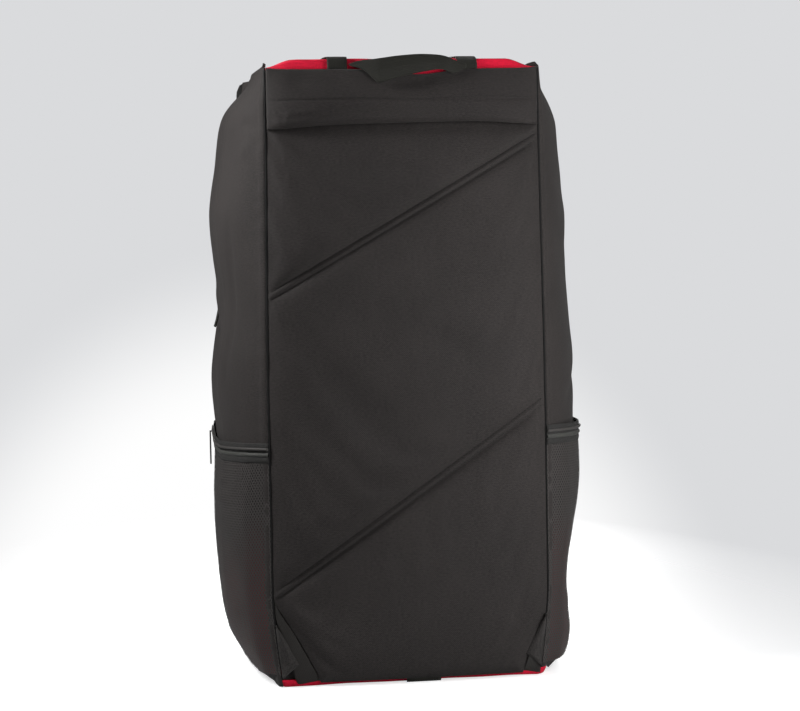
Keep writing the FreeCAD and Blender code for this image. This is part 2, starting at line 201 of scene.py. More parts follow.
def surface(name, points, material, thickness=0.0, flip=False, mapped=True):
    """A sheet through a grid of points, with its outer side along the grid's normal."""
    rows, columns = points.shape[:2]
    faces = grid_faces(rows, columns)
    if flip:
        faces = [face[::-1] for face in faces]
    obj = mesh_object(name, points.reshape(-1, 3), faces, material)
    if mapped:
        places = np.stack([steps_along(points, 1), steps_along(points, 0)], axis=2)
        add_cloth_map(obj, places.reshape(-1, 2))
    if thickness:
        solid = obj.modifiers.new("thickness", "SOLIDIFY")
        solid.thickness = thickness
        solid.offset = -1
        solid.use_even_offset = False
    return obj


def frames_along(points):
    """Tangent, side and normal at each point of a path, without twist."""
    points = [Vector(p) for p in points]
    tangents = []
    for i in range(len(points)):
        step = points[min(i + 1, len(points) - 1)] - points[max(i - 1, 0)]
        tangents.append(step.normalized())
    side = tangents[0].orthogonal().normalized()
    sides = []
    for tangent in tangents:
        side = (side - tangent * side.dot(tangent)).normalized()
        sides.append(side)
    return points, tangents, sides


def tube_data(points, radius, around=8, start=0):
    """Vertices and faces of a round tube with closed ends along a path."""
    vertices = []
    path, tangents, sides = frames_along(points)
    for p, t, s in zip(path, tangents, sides):
        up = t.cross(s)
        for k in range(around):
            angle = 2 * math.pi * k / around
            vertices.append(p + (s * math.cos(angle) + up * math.sin(angle)) * radius)
    return vertices, [face[::-1] for face in ring_faces(len(path), around, start)]


def tubes(name, paths, radius, material, around=8):
    vertices, faces = [], []
    for path in paths:
        more, more_faces = tube_data(path, radius, around, len(vertices))
        vertices += more
        faces += more_faces
    return mesh_object(name, vertices, faces, material)


def resample(points, step):
    """Points along a path at an even step."""
    points = np.array(points, float)
    lengths = steps_along(points, 0)
    count = max(2, int(round(lengths[-1] / step)) + 1)
    at = np.linspace(0, lengths[-1], count)
    return np.stack([np.interp(at, lengths, points[:, k]) for k in range(3)], axis=1)


def stitches(name, paths, pitch, radius, length=2.3 * MM, around=5):
    """Sewing thread: a short raised stitch with thin ends at every pitch along each path."""
    vertices, faces = [], []
    for path in paths:
        fine = resample(path, pitch)
        for a, b in zip(fine, fine[1:]):
            middle = (a + b) / 2
            half = (b - a) / np.linalg.norm(b - a) * length / 2
            run = [middle - half, middle - half * 0.5, middle + half * 0.5, middle + half]
            more, more_faces = tube_data(run, radius, around, len(vertices))
            for k in range(around):
                more[k] = (more[k] + Vector(run[0]) * 2) / 3
                more[-around + k] = (more[-around + k] + Vector(run[-1]) * 2) / 3
            vertices += more
            faces += more_faces
    return mesh_object(name, vertices, faces, THREAD)


def ribbon(name, centre, across, width, thickness, material, columns=9, edge_drop=0.25):
    """Flat webbing along a path. across gives the width's direction, once or at each point."""
    centre = np.array(centre, float)
    across = np.array(np.broadcast_to(across, centre.shape), float)
    across /= np.linalg.norm(across, axis=1)[:, None]
    tangent = np.gradient(centre, axis=0)
    tangent /= np.linalg.norm(tangent, axis=1)[:, None]
    normal = np.cross(tangent, across)
    normal /= np.linalg.norm(normal, axis=1)[:, None]
    widths = np.broadcast_to(width, len(centre))
    around = [(t, 0.5 * (1 - edge_drop * abs(t) ** 6)) for t in np.linspace(-1, 1, columns)]
    around = around + [(t, -h) for t, h in reversed(around)]
    vertices, places = [], []
    for i, length in enumerate(steps_along(centre, 0)):
        for t, h in around:
            vertices.append(centre[i] + across[i] * (t * widths[i] / 2) + normal[i] * h * thickness)
            places.append((t * widths[i] / 2, length))
    obj = mesh_object(name, vertices, ring_faces(len(centre), len(around)), material)
    add_cloth_map(obj, np.array(places))
    return obj


def tidy_normals(obj):
    mesh = bmesh.new()
    mesh.from_mesh(obj.data)
    bmesh.ops.recalc_face_normals(mesh, faces=mesh.faces)
    mesh.to_mesh(obj.data)
    mesh.free()


def attach(piece, slot, body, *replaced):
    """Puts a piece on its moving body, in place of the solids that it stands for. Its finish, given as slot, is
    not used.
    """
    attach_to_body(piece, body)
    if replaced:
        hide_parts(*replaced)


# ---- materials -----------------------------------------------------------------------------
class Shading:
    """Adds nodes to the node tree of one material or world."""

    def __init__(self, owner):
        self.tree = owner.node_tree
        self.shader = self.tree.nodes.get("Principled BSDF")

    def link(self, source, target):
        self.tree.links.new(source, target)

    def drive(self, source, name):
        """Links a socket to a named input of the material's shader."""
        self.link(source, self.shader.inputs[name])

    def node(self, kind, inputs=None, **settings):
        """Adds a shader node, with its settings and its inputs' values or links."""
        made = self.tree.nodes.new("ShaderNode" + kind)
        for key, value in settings.items():
            setattr(made, key, value)
        for key, value in (inputs or {}).items():
            if isinstance(value, bpy.types.NodeSocket):
                self.link(value, made.inputs[key])
            else:
                made.inputs[key].default_value = value
        return made

    def calc(self, operation, first, second=0.0, third=0.0):
        return self.node("Math", {0: first, 1: second, 2: third}, operation=operation).outputs[0]

    def times(self, first, second):
        return self.calc("MULTIPLY", first, second)

    def plus(self, first, second):
        return self.calc("ADD", first, second)

    def speckle(self, place, scale, detail):
        """Noise from 0 to 1, so many lumps to the metre."""
        return self.node("TexNoise", {"Vector": place, "Scale": scale, "Detail": detail}).outputs[0]

    def object_place(self):
        return self.node("TexCoord").outputs["Object"]

    def cloth_place(self, mapped=True):
        """The place on the cloth in metres, by its map or by object space, whole and as x, y and z."""
        place = self.node("UVMap", uv_map="cloth").outputs[0] if mapped else self.object_place()
        return place, self.node("SeparateXYZ", {0: place}).outputs

    def wave(self, value, pitch):
        """A rounded ridge from 0 to 1 at every pitch along a value in metres."""
        turn = self.times(value, 2 * math.pi / pitch)
        return self.calc("MULTIPLY_ADD", self.calc("COSINE", turn), 0.5, 0.5)

    def ramp(self, value, low, high, at_low, at_high, **settings):
        """Goes from one number to another while a value goes from low to high."""
        return self.node("MapRange", {0: value, 1: low, 2: high, 3: at_low, 4: at_high}, **settings).outputs[0]

    def blend(self, factor, dark, light):
        """Mixes two colours, each a socket or three numbers."""
        dark, light = (c if isinstance(c, bpy.types.NodeSocket) else (*c, 1) for c in (dark, light))
        return self.node("Mix", {0: factor, 6: dark, 7: light}, data_type="RGBA").outputs[2]

    def tint(self, factor, dark, light):
        self.drive(self.blend(factor, dark, light), "Base Color")

    def relief(self, height, depth_mm, strength):
        """Bump from a height that runs from 0 to 1."""
        bumped = self.node("Bump", {"Height": height, "Distance": depth_mm * MM, "Strength": strength})
        self.drive(bumped.outputs[0], "Normal")


def new_material(name, colour, rough=0.8, metal=0.0, sheen=0.0, gloss=0.5):
    material = bpy.data.materials.new(name)
    material.use_nodes = True
    shading = Shading(material)
    for key, value in (("Base Color", (*colour, 1)), ("Roughness", rough), ("Metallic", metal),
                       ("Specular IOR Level", gloss), ("Sheen Weight", sheen), ("Sheen Roughness", 0.5)):
        shading.shader.inputs[key].default_value = value
    return material, shading


def woven(name, dark, light, pitch=1.1 * MM, rough=0.78, sheen=0.12, wear=0.5, mapped=True):
    """Plain woven cloth: crossing threads, slubs, and faint rubbed patches."""
    material, s = new_material(name, dark, rough, sheen=sheen, gloss=0.22)
    place, (u, v, w) = s.cloth_place(mapped)
    bend = s.calc("MULTIPLY_ADD", s.speckle(place, 260.0, 2.0), 0.5 * pitch, -0.25 * pitch)
    warp = s.wave(s.plus(u, bend), pitch)
    weft = s.wave(s.plus(v, bend), pitch)
    over = s.times(s.wave(s.plus(u, v), 2 * pitch), 0.35)
    thread = s.calc("MULTIPLY_ADD", s.plus(warp, weft), 0.325, over)
    drawn = s.node("VectorMath", {0: place, 1: (240.0, 620.0, 620.0)}, operation="MULTIPLY").outputs[0]
    streak = s.times(s.calc("SUBTRACT", s.speckle(drawn, 1.0, 1.0), 0.5), 1.9 * wear)
    rub = s.times(s.calc("SUBTRACT", s.speckle(place, 9.0, 4.0), 0.5), wear)
    speck = s.times(s.calc("SUBTRACT", s.speckle(place, 900.0, 1.0), 0.5), 1.5)
    value = s.plus(s.calc("MULTIPLY_ADD", thread, 0.7, 0.12), s.plus(s.plus(rub, streak), speck))
    s.tint(s.calc("MINIMUM", s.calc("MAXIMUM", value, 0.0), 1.0), dark, light)
    s.relief(thread, 0.25, 0.8)
    return material


def ribbed(name, dark, light, pitch=1.3 * MM, rough=0.6):
    """Webbing: cross ribs along v, with the fine chevron of its yarns."""
    material, s = new_material(name, dark, rough, sheen=0.04, gloss=0.14)
    place, (u, v, w) = s.cloth_place()
    rib = s.wave(s.plus(v, s.times(s.calc("ABSOLUTE", u), 0.35)), pitch)
    yarn = s.wave(u, 1.6 * pitch)
    height = s.calc("MULTIPLY_ADD", rib, 0.6, s.times(yarn, 0.4))
    s.tint(s.calc("MULTIPLY_ADD", height, 0.7, s.times(s.speckle(place, 500.0, 3.0), 0.35)), dark, light)
    s.relief(height, 0.3, 0.9)
    return material


def moulded(name, colour, rough=0.35, metal=0.0):
    """Moulded plastic or cast metal: faint grain and uneven gloss."""
    material, s = new_material(name, colour, rough, metal)
    place = s.object_place()
    smear = s.speckle(place, 60.0, 3.0)
    s.drive(s.calc("MULTIPLY_ADD", smear, 0.25, rough - 0.12), "Roughness")
    s.tint(smear, [0.8 * c for c in colour], [min(1, 1.2 * c) for c in colour])
    s.relief(s.speckle(place, 1800.0, 2.0), 0.03, 0.6)
    return material


def open_mesh(name, dark, light, pitch, slant=0.62, hole=0.50):
    """Black mesh: diamond holes between knitted threads, with the dark sheet behind, painted shade for the
    pocket's inside, showing through.
    """
    material, s = new_material(name, dark, 0.7, sheen=0.05, gloss=0.25)
    place, (u, v, w) = s.cloth_place()
    one = s.wave(s.plus(u, s.times(v, slant)), pitch)
    other = s.wave(s.calc("SUBTRACT", u, s.times(v, slant)), pitch)
    thread = s.calc("MAXIMUM", one, other)
    s.tint(s.calc("MULTIPLY_ADD", thread, 0.5, s.times(s.speckle(place, 900.0, 2.0), 0.5)), dark, light)
    s.relief(thread, 0.5, 0.9)
    s.drive(s.calc("SUBTRACT", 1.0, s.calc("LESS_THAN", thread, hole)), "Alpha")
    return material


def painted_shade_mesh_backing(name):
    """Black sheet just behind the mesh and darker than the side cloth: painted shade for the pocket's inside
    seen through the holes, with the red base cloth showing up from the foot of the bag.
    """
    material = woven(name, (0.0030, 0.0027, 0.0026), (0.015, 0.0135, 0.0125), pitch=0.9 * MM, sheen=0.0)
    s = Shading(material)
    black = s.shader.inputs["Base Color"].links[0].from_socket
    place, (x, y, z) = s.cloth_place(mapped=False)
    height = s.calc("MULTIPLY_ADD", s.speckle(place, 9.0, 2.0), -0.16, z)
    low = s.ramp(height, 0.03, 0.12, 0.42, 0.0)
    near = s.ramp(y, -0.15, 0.02, 1.0, 0.15)
    s.tint(s.times(low, near), black, (0.26, 0.004, 0.016))
    return material


BLACK = woven("black polyester", (0.0050, 0.0042, 0.0040), (0.029, 0.0242, 0.0228), sheen=0.04)
PADDED = woven("padded back polyester", (0.0050, 0.0042, 0.0040), (0.027, 0.0228, 0.0216),
               pitch=1.3 * MM, sheen=0.03)
STRAP = woven("strap polyester", (0.008, 0.0076, 0.0075), (0.036, 0.034, 0.033), sheen=0.04)
LINING = woven("grey lining", (0.05, 0.05, 0.052), (0.12, 0.12, 0.125), pitch=0.8 * MM)
BINDING = woven("edge binding", (0.008, 0.0073, 0.0070), (0.040, 0.037, 0.035),
                pitch=0.9 * MM, rough=0.6, sheen=0.05)
SEAM = woven("turned seam polyester", (0.006, 0.0053, 0.0050), (0.031, 0.0275, 0.0262),
             mapped=False, sheen=0.04)
# Painted shade: the piping cord is made near-black, darker than the cloth round it, to paint the shadow in each
# back seam's groove.
PIPING_WITH_GROOVE_SHADE = woven("piping", (0.0010, 0.0010, 0.0010), (0.0035, 0.0032, 0.0032),
               pitch=0.9 * MM, sheen=0.0, mapped=False)
RED = woven("red polyester", (0.30, 0.0, 0.016), (0.74, 0.001, 0.032), pitch=1.0 * MM, sheen=0.03, wear=0.4)
WEBBING = ribbed("olive black webbing", (0.0040, 0.0040, 0.0030), (0.0165, 0.0162, 0.0125))
CORNER = ribbed("corner webbing", (0.0060, 0.0055, 0.0050), (0.030, 0.0275, 0.0255))
TAPE = woven("zip tape", (0.006, 0.0058, 0.0055), (0.026, 0.025, 0.024), pitch=0.7 * MM, sheen=0.03)
COIL = ribbed("zip coil", (0.012, 0.012, 0.0110), (0.064, 0.065, 0.060), pitch=1.5 * MM, rough=0.5)
MESH = open_mesh("pocket mesh", (0.008, 0.0072, 0.0068), (0.038, 0.0335, 0.0318), pitch=4.0 * MM)
# Painted shade: a black sheet behind the pocket mesh, darker than the side cloth, for the shaded inside of the
# pocket.
PAINTED_SHADE_BACKING = painted_shade_mesh_backing("pocket backing, painted shade")
THREAD = woven("sewing thread", (0.002, 0.0019, 0.0019), (0.009, 0.0085, 0.0085),
               mapped=False, pitch=0.5 * MM, sheen=0.0)
PULL_TAPE = woven("pull tape", (0.005, 0.0047, 0.0045), (0.024, 0.022, 0.021),
                  mapped=False, pitch=0.6 * MM, sheen=0.0)
METAL = moulded("black zip metal", (0.045, 0.045, 0.047), 0.34, 0.9)
PLASTIC = moulded("buckle plastic", (0.018, 0.018, 0.019), 0.42)
BOARD = moulded("base board", (0.10, 0.10, 0.10), 0.5)


# ---- shell of the bag ----------------------------------------------------------------------
ROUND = 0.55                    # how round the sides' soft turns are, from 0, straight, to 1, a full arc


def turn_outline(sign, z, steps=72):
    """Points round one side at one height, from the back seam to the front seam, as (x, y)."""
    back = seam_half(z)
    side = np.interp(z, *PROFILES[1]) + side_sag(sign, z)
    front = np.interp(z, *PROFILES[2])
    third = steps // 3
    share = np.linspace(0, 1, third + 1)
    early = (1 - ROUND) * share + ROUND * np.sin(share * math.pi / 2)
    late = (1 - ROUND) * share + ROUND * (1 - np.cos(share * math.pi / 2))
    flat_run = np.linspace(flat_from, flat_to, third, endpoint=False)
    flat_x = side + 3 * MM * np.sin(math.pi * (flat_run - flat_from) / (flat_to - flat_from))
    xs = np.concatenate([back + (side - back) * early[:-1], flat_x, side - (side - front) * late])
    ys = np.concatenate([back_y + (flat_from - back_y) * late[:-1], flat_run,
                         flat_to + (front_y - flat_to) * early])
    return sign * xs, ys


def side_surface(sign, heights):
    """Grid of points round one side."""
    grid = []
    for z in heights:
        xs, ys = turn_outline(sign, z)
        grid.append(np.stack([xs, ys, np.full(len(xs), z)], axis=1))
    return np.array(grid)


def outward(grid, sign):
    """Unit normals of a side grid, pointing out of the bag."""
    across = np.gradient(grid, axis=1)
    up = np.gradient(grid, axis=0)
    normal = np.cross(across, up) * sign
    return normal / np.linalg.norm(normal, axis=2)[:, :, None]


TOP_DRAWN = {LEFT: 11.5 * MM, RIGHT: 9 * MM}        # how far in the top edge of each side is drawn


def fading_forward(y):
    """Share of the draw of a top edge that is left at a depth: little near the front."""
    return 1 - 0.8 * ease(y, front_y - 40 * MM, front_y - 10 * MM)


def tucked(grid, sign):
    """Draws the top and bottom edges of a side in towards the bag, over the rims of both ends."""
    z = grid[:, :, 2]
    inward = TOP_DRAWN[sign] * ease(z, seam_z - 50 * MM, seam_z + 12 * MM) * fading_forward(grid[:, :, 1])
    inward = inward + 9 * MM * (1 - ease(z, 0, 12 * MM))
    run = np.linalg.norm(grid - grid[:, :1], axis=2)
    grid = grid.copy()
    if sign == RIGHT:
        grid[:, :, 2] += 9 * MM * (1 - ease(run, 8 * MM, 45 * MM)) * (1 - ease(z, 0, 40 * MM))
    grid[:, :, 0] -= sign * inward * ease(run, 0, 0.05)
    grid[:, :, 2] -= (z - seam_z) * (1 - ease(run, 0, 0.02)) * (z > seam_z)
    return grid


SIDE_FOLDS = {LEFT: [((-0.105, 0.36), (-0.125, 0.62), 0.006, -2.2), ((-0.02, 0.47), (0.10, 0.50), 0.010, 3.0),
                     ((-0.06, 0.43), (0.08, 0.455), 0.009, -3.0),
                     ((-0.168, 0.700), (-0.135, 0.712), 0.0035, -1.6),
                     ((-0.160, 0.690), (-0.140, 0.665), 0.006, 1.4)],
              RIGHT: [((-0.15, 0.34), (-0.05, 0.40), 0.008, -2.0), ((-0.14, 0.55), (-0.02, 0.63), 0.012, 2.0)]}


def shell_side(sign):
    """Side cloth with its soft folds, and a rolled seam gathered by its thread along the back."""
    name = SIDE_NAME[sign]
    grid = tucked(side_surface(sign, np.linspace(1.5 * MM, seam_z + 8 * MM, 170)), sign)
    y, z = grid[:, :, 1], grid[:, :, 2]
    out = 1.6 * MM * lumps(grid, 0.11, 3 + sign) + 0.7 * MM * lumps(grid, 0.035, 5 + sign)
    out += folds(y, z, SIDE_FOLDS[sign])
    out *= ease(y, back_y, back_y + 0.03) * (1 - ease(y, front_y - 0.03, front_y))
    run = np.linalg.norm(grid - grid[:, :1], axis=2)
    out += 2.6 * MM * bump(run, 5.5 * MM, 3.4 * MM) * (0.8 + 0.3 * lumps(grid, 0.04, 9))
    out += 0.35 * MM * np.sin(z / 0.0042 + 7 * lumps(grid, 0.05, 14)) * bump(run, 9 * MM, 7 * MM)
    grid = grid + outward(grid, sign) * out[:, :, None]
    piece = surface(f"side_shell_{name}", grid, BLACK, 1.6 * MM, flip=sign == LEFT)
    attach(piece, "body_cloth", "bag", f"side_panel_{name}")


# Lower edge of the upper band, as share of the half width and height.
HEM = [(-1, 0.701), (-0.54, 0.707), (0.05, 0.709), (0.56, 0.710), (1, 0.705)]
CHANNELS = [(0.2355, 0.681), (0.5915, 0.572)]       # height at the middle of the bag, and slope
CHANNEL_HALF = 3.7 * MM
PANEL_FOOT = 5 * MM
PANEL_TOP = 0.714
CUT = {LEFT: (0.118, 0.111), RIGHT: (0.142, 0.079)}  # cut corners: half width at the foot, height
SEAM_GAP = 1.2 * MM             # cloth left free beside the back seams


def panel_edge(sign, z):
    """Edge of the padded back at a height: along the seam, then in along the cut corner."""
    half = seam_half(z) - SEAM_GAP
    foot, top = CUT[sign]
    share = np.clip((z - PANEL_FOOT) / (top - PANEL_FOOT), 0, 1) ** 0.9
    return sign * np.minimum(half, foot + (half - foot) * share)


def crowded(count, strength=0.6):
    """Even steps from 0 to 1, closer together near both ends."""
    even = np.linspace(0, 1, count)
    return (1 - strength) * even + strength * (0.5 - 0.5 * np.cos(math.pi * even))


def panel_rows():
    """Each row of the quilt as height and slope, with rows exactly on every line of stitches."""
    keys = [(PANEL_FOOT, 0.0)]
    for height, slope in CHANNELS:
        rise = CHANNEL_HALF * math.hypot(1, slope)
        keys += [(height - rise, slope), (height + rise, slope)]
    keys.append((PANEL_TOP, 0.0))
    rows, stitched = [], []
    for k, count in enumerate((60, 5, 88, 5, 42)):
        (z0, s0), (z1, s1) = keys[k], keys[k + 1]
        for t in crowded(count)[:-1]:
            rows.append((z0 + (z1 - z0) * t, s0 + (s1 - s0) * t))
        if k:
            stitched.append(len(rows) - count + 1)
    rows.append(keys[-1])
    return rows, stitched


def panel_grid(columns=121):
    """Grid over the back panel, in x and z, and the numbers of its stitched rows."""
    rows, stitched = panel_rows()
    share = -1 + 2 * crowded(columns, 0.35)
    xs = np.zeros((len(rows), columns))
    zs = np.zeros((len(rows), columns))
    for i, (height, slope) in enumerate(rows):
        ends = []
        for sign in (LEFT, RIGHT):
            x = sign * 0.17
            for step in range(12):
                x = 0.5 * x + 0.5 * panel_edge(sign, np.clip(height + slope * x, PANEL_FOOT, PANEL_TOP))
            ends.append(x)
        xs[i] = ends[0] + (ends[1] - ends[0]) * (share + 1) / 2
        zs[i] = height + slope * xs[i]
    return xs, zs, stitched


def edge_distance(grid):
    """Rough distance of every point of a grid from its nearest border."""
    middle = np.linalg.norm(grid - grid[:, :1], axis=2)
    far = np.linalg.norm(grid - grid[:, -1:], axis=2)
    low = np.linalg.norm(grid - grid[:1], axis=2)
    high = np.linalg.norm(grid - grid[-1:], axis=2)
    return np.minimum(np.minimum(middle, far), np.minimum(low, high))


def channel_distance(x, z):
    """Distance from the middle line of the nearer channel."""
    best = np.full(np.shape(x), 9.0)
    for height, slope in CHANNELS:
        best = np.minimum(best, np.abs(z - height - slope * x) / math.hypot(1, slope))
    return best


# Padded polyester under a gentle push from behind, for Blender's cloth.
CLOTH = {"quality": 5, "mass": 0.12, "tension_stiffness": 24, "compression_stiffness": 18, "shear_stiffness": 8,
         "bending_stiffness": 4, "tension_damping": 12, "compression_damping": 12, "shear_damping": 8,
         "bending_damping": 1, "air_damping": 4, "vertex_group_mass": "sewn", "shrink_min": -0.005,
         "use_pressure": True, "uniform_pressure_force": 0.8}
CLOTH_GRAVITY = 0.15
CLOTH_FRAMES = 26


def settle_cloth(grid, sewn):
    """Lets a sheet that is sewn down in places fill out and fall into its own wrinkles."""
    draft = surface("cloth draft", grid, THREAD, mapped=False)
    group = draft.vertex_groups.new(name="sewn")
    group.add([int(index) for index in np.flatnonzero(sewn)], 1.0, "REPLACE")
    cloth = draft.modifiers.new("cloth", "CLOTH")
    for setting, value in CLOTH.items():
        setattr(cloth.settings, setting, value)
    cloth.settings.effector_weights.gravity = CLOTH_GRAVITY
    cloth.collision_settings.use_collision = False
    cloth.point_cache.frame_start = 1
    cloth.point_cache.frame_end = CLOTH_FRAMES
    scene = bpy.context.scene
    for frame_number in range(1, CLOTH_FRAMES + 1):
        scene.frame_set(frame_number)
    settled = draft.evaluated_get(bpy.context.evaluated_depsgraph_get())
    flat = np.zeros(grid.size)
    settled.data.vertices.foreach_get("co", flat)
    bpy.data.objects.remove(draft)
    scene.frame_set(1)
    return flat.reshape(grid.shape)


QUILT_FOLDS = [((0.020, 0.452), (0.092, 0.408), 0.013, -1.7), ((0.045, 0.470), (0.105, 0.430), 0.015, 1.2),
               ((0.170, 0.252), (0.090, 0.184), 0.010, -2.0), ((0.172, 0.192), (0.110, 0.136), 0.010, -1.8),
               ((-0.165, 0.115), (-0.09, 0.02), 0.008, 2.2)]


def swelling(distance, spread):
    """0 at a seam, rising to 1 over about one spread."""
    return 1 - np.exp(-distance / spread)


def back_quilt():
    """Padded back: swollen between its edges and its double lines of stitches, then settled as cloth."""
    xs, zs, stitched = panel_grid()
    flat = np.stack([xs, np.full_like(xs, back_y), zs], axis=2)
    hem = np.interp(xs / 0.172, *zip(*HEM))
    near = np.minimum(edge_distance(flat), np.maximum(0.0, hem - zs))
    away = channel_distance(xs, zs)
    outside = np.maximum(0.0, away - CHANNEL_HALF)
    puff = 3 * MM + 9.5 * MM * swelling(near, 14 * MM) * swelling(outside, 11 * MM)
    puff = np.where(away < CHANNEL_HALF * 0.98, puff + 2.2 * MM, puff) * swelling(near, 6 * MM)
    bow = 5 * MM * (1 - (xs / 0.176) ** 2) * (0.2 + 0.8 * ease(hem - zs, 0, 0.06))
    start = flat.copy()
    start[:, :, 1] -= puff + bow
    move = settle_cloth(start, (near < 1 * MM) | (away < CHANNEL_HALF * 1.02)) - start
    length = np.linalg.norm(move, axis=2, keepdims=True)
    move *= 0.5 * np.minimum(1.0, 6 * MM / np.maximum(length, 1e-6))
    move *= swelling(outside ** 2, 0.022 ** 2)[:, :, None]
    grid = start + move
    wrinkle = 0.5 * MM * lumps(start, 0.05, 2) + 1.3 * MM * lumps(start, 0.15, 8) + folds(xs, zs, QUILT_FOLDS)
    pleat = np.sin(xs / 0.0046 + 6 * lumps(start, 0.03, 12))
    wrinkle += 0.25 * MM * pleat * np.exp(-outside / (6 * MM)) * (away > CHANNEL_HALF)
    grid[:, :, 1] -= wrinkle * swelling(near, 12 * MM) * swelling(outside, 6 * MM)
    rear = start.copy()
    rear[:, :, 1] = back_y + 9 * MM
    rear[0, :, 1] = rear[-1, :, 1] = rear[:, 0, 1] = rear[:, -1, 1] = back_y + 2 * MM
    piece = closed_pad("back_quilt", grid, rear, PADDED)
    attach(piece, "back_cloth", "bag", "back_panel", "back_foam")
    paths = [grid[row, 2:-2] - np.array([0, 0.15 * MM, 0]) for row in stitched]
    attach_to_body(stitches("quilt_stitching", paths, 4.2 * MM, 0.6 * MM), "bag")


def closed_pad(name, front, back, material):
    """A stuffed piece: a front grid and a back grid with the same edge, joined round the rim."""
    rows, columns = front.shape[:2]
    count = rows * columns
    faces = grid_faces(rows, columns)
    faces += [tuple(count + k for k in face[::-1]) for face in grid_faces(rows, columns)]
    number = np.arange(count).reshape(rows, columns)
    rim = [*number[0], *number[1:, -1], *number[-1, -2::-1], *number[-2:0:-1, 0]]
    rim = [int(k) for k in rim]
    for a, b in zip(rim, rim[1:] + rim[:1]):
        faces.append((a, count + a, count + b, b))
    vertices = np.concatenate([front.reshape(-1, 3), back.reshape(-1, 3)])
    obj = mesh_object(name, vertices, faces, material)
    add_cloth_map(obj, np.tile(front[:, :, [0, 2]].reshape(-1, 2), (2, 1)))
    return obj


def seam_dip(x):
    """The top edge of the back is pulled down where the grab handle hangs."""
    return 7 * MM * bump(x, 0.018, 0.032)


BAND_STITCHES = 0.7355          # height of the line of stitches across the upper band
BAND_FOLDS = [((-0.03, 0.752), (0.045, 0.762), 0.006, -2.5), ((-0.168, 0.714), (-0.09, 0.724), 0.004, 1.8),
              ((0.168, 0.716), (0.10, 0.730), 0.004, 1.8), ((-0.150, 0.765), (-0.06, 0.752), 0.008, -2.0)]


def upper_band(rows=76, columns=161, turned=7):
    """Flap of cloth over the top of the back, with a rolled hem and gathers at both ends."""
    share = np.linspace(-1, 1, columns)
    hem = np.interp(share, *zip(*HEM))
    hem = np.convolve(np.pad(hem, 12, mode="edge"), np.ones(25) / 25, "valid")
    top = seam_z - 2 * MM - seam_dip(share * 0.17) + 2.5 * MM * np.abs(share) ** 14
    full = 1 - np.abs(share) ** 9
    grid = np.zeros((rows, columns, 3))
    for i in range(rows):
        t = max(0.0, (i - turned) / (rows - 1 - turned))
        rise = 4 * MM + 9 * MM * math.sin(math.pi * (0.16 + 0.84 * t)) ** 0.8
        angle = max(0.0, (turned - i) / turned) * math.pi
        grid[i, :, 0] = share * (seam_half(0.74) - SEAM_GAP)
        grid[i, :, 1] = back_y - 2 * MM - full * (rise - 2 * MM * (1 - math.cos(angle)))
        grid[i, :, 2] = hem + (top - hem) * t - 2 * MM * math.sin(angle)
    x, z = grid[:, :, 0], grid[:, :, 2]
    above = z - hem[None, :]
    out = 2.6 * MM * np.exp(-((above - 5 * MM) / 0.0052) ** 2) * (above > 0)
    out -= 1.0 * MM * np.exp(-((z - BAND_STITCHES) / 0.0016) ** 2)
    out += 1.6 * MM * np.exp(-((above - 0.022) / 0.011) ** 2)
    gather = np.sin(x / 0.0030 + 8 * lumps(grid, 0.02, 4)) * ease(np.abs(x), 0.12, 0.165)
    out += 0.55 * MM * gather * (1 - ease(z, 0.71, 0.755))
    out += 1.5 * MM * lumps(grid, 0.07, 6) + 0.5 * MM * lumps(grid, 0.025, 7) + folds(x, z, BAND_FOLDS)
    grid[:, :, 1] -= out * (1 - np.abs(share[None, :]) ** 12) * ease(np.arange(rows), 0, turned)[:, None]
    piece = surface("upper_band_cloth", grid, PADDED, 1.4 * MM)
    attach(piece, "back_cloth", "bag", "upper_band")
    row = int(np.argmin(np.abs(grid[:, columns // 2, 2] - BAND_STITCHES)))
    paths = [grid[row, 3:-3] - np.array([0, 0.1 * MM, 0])]
    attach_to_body(stitches("band_stitching", paths, 3.2 * MM, 0.3 * MM), "bag")


RIM_SHARE = 0.3                 # share of the way from an end's outline to its middle that the rim takes
RIM_TURN = 0.62 * math.pi       # how far the rim rolls over


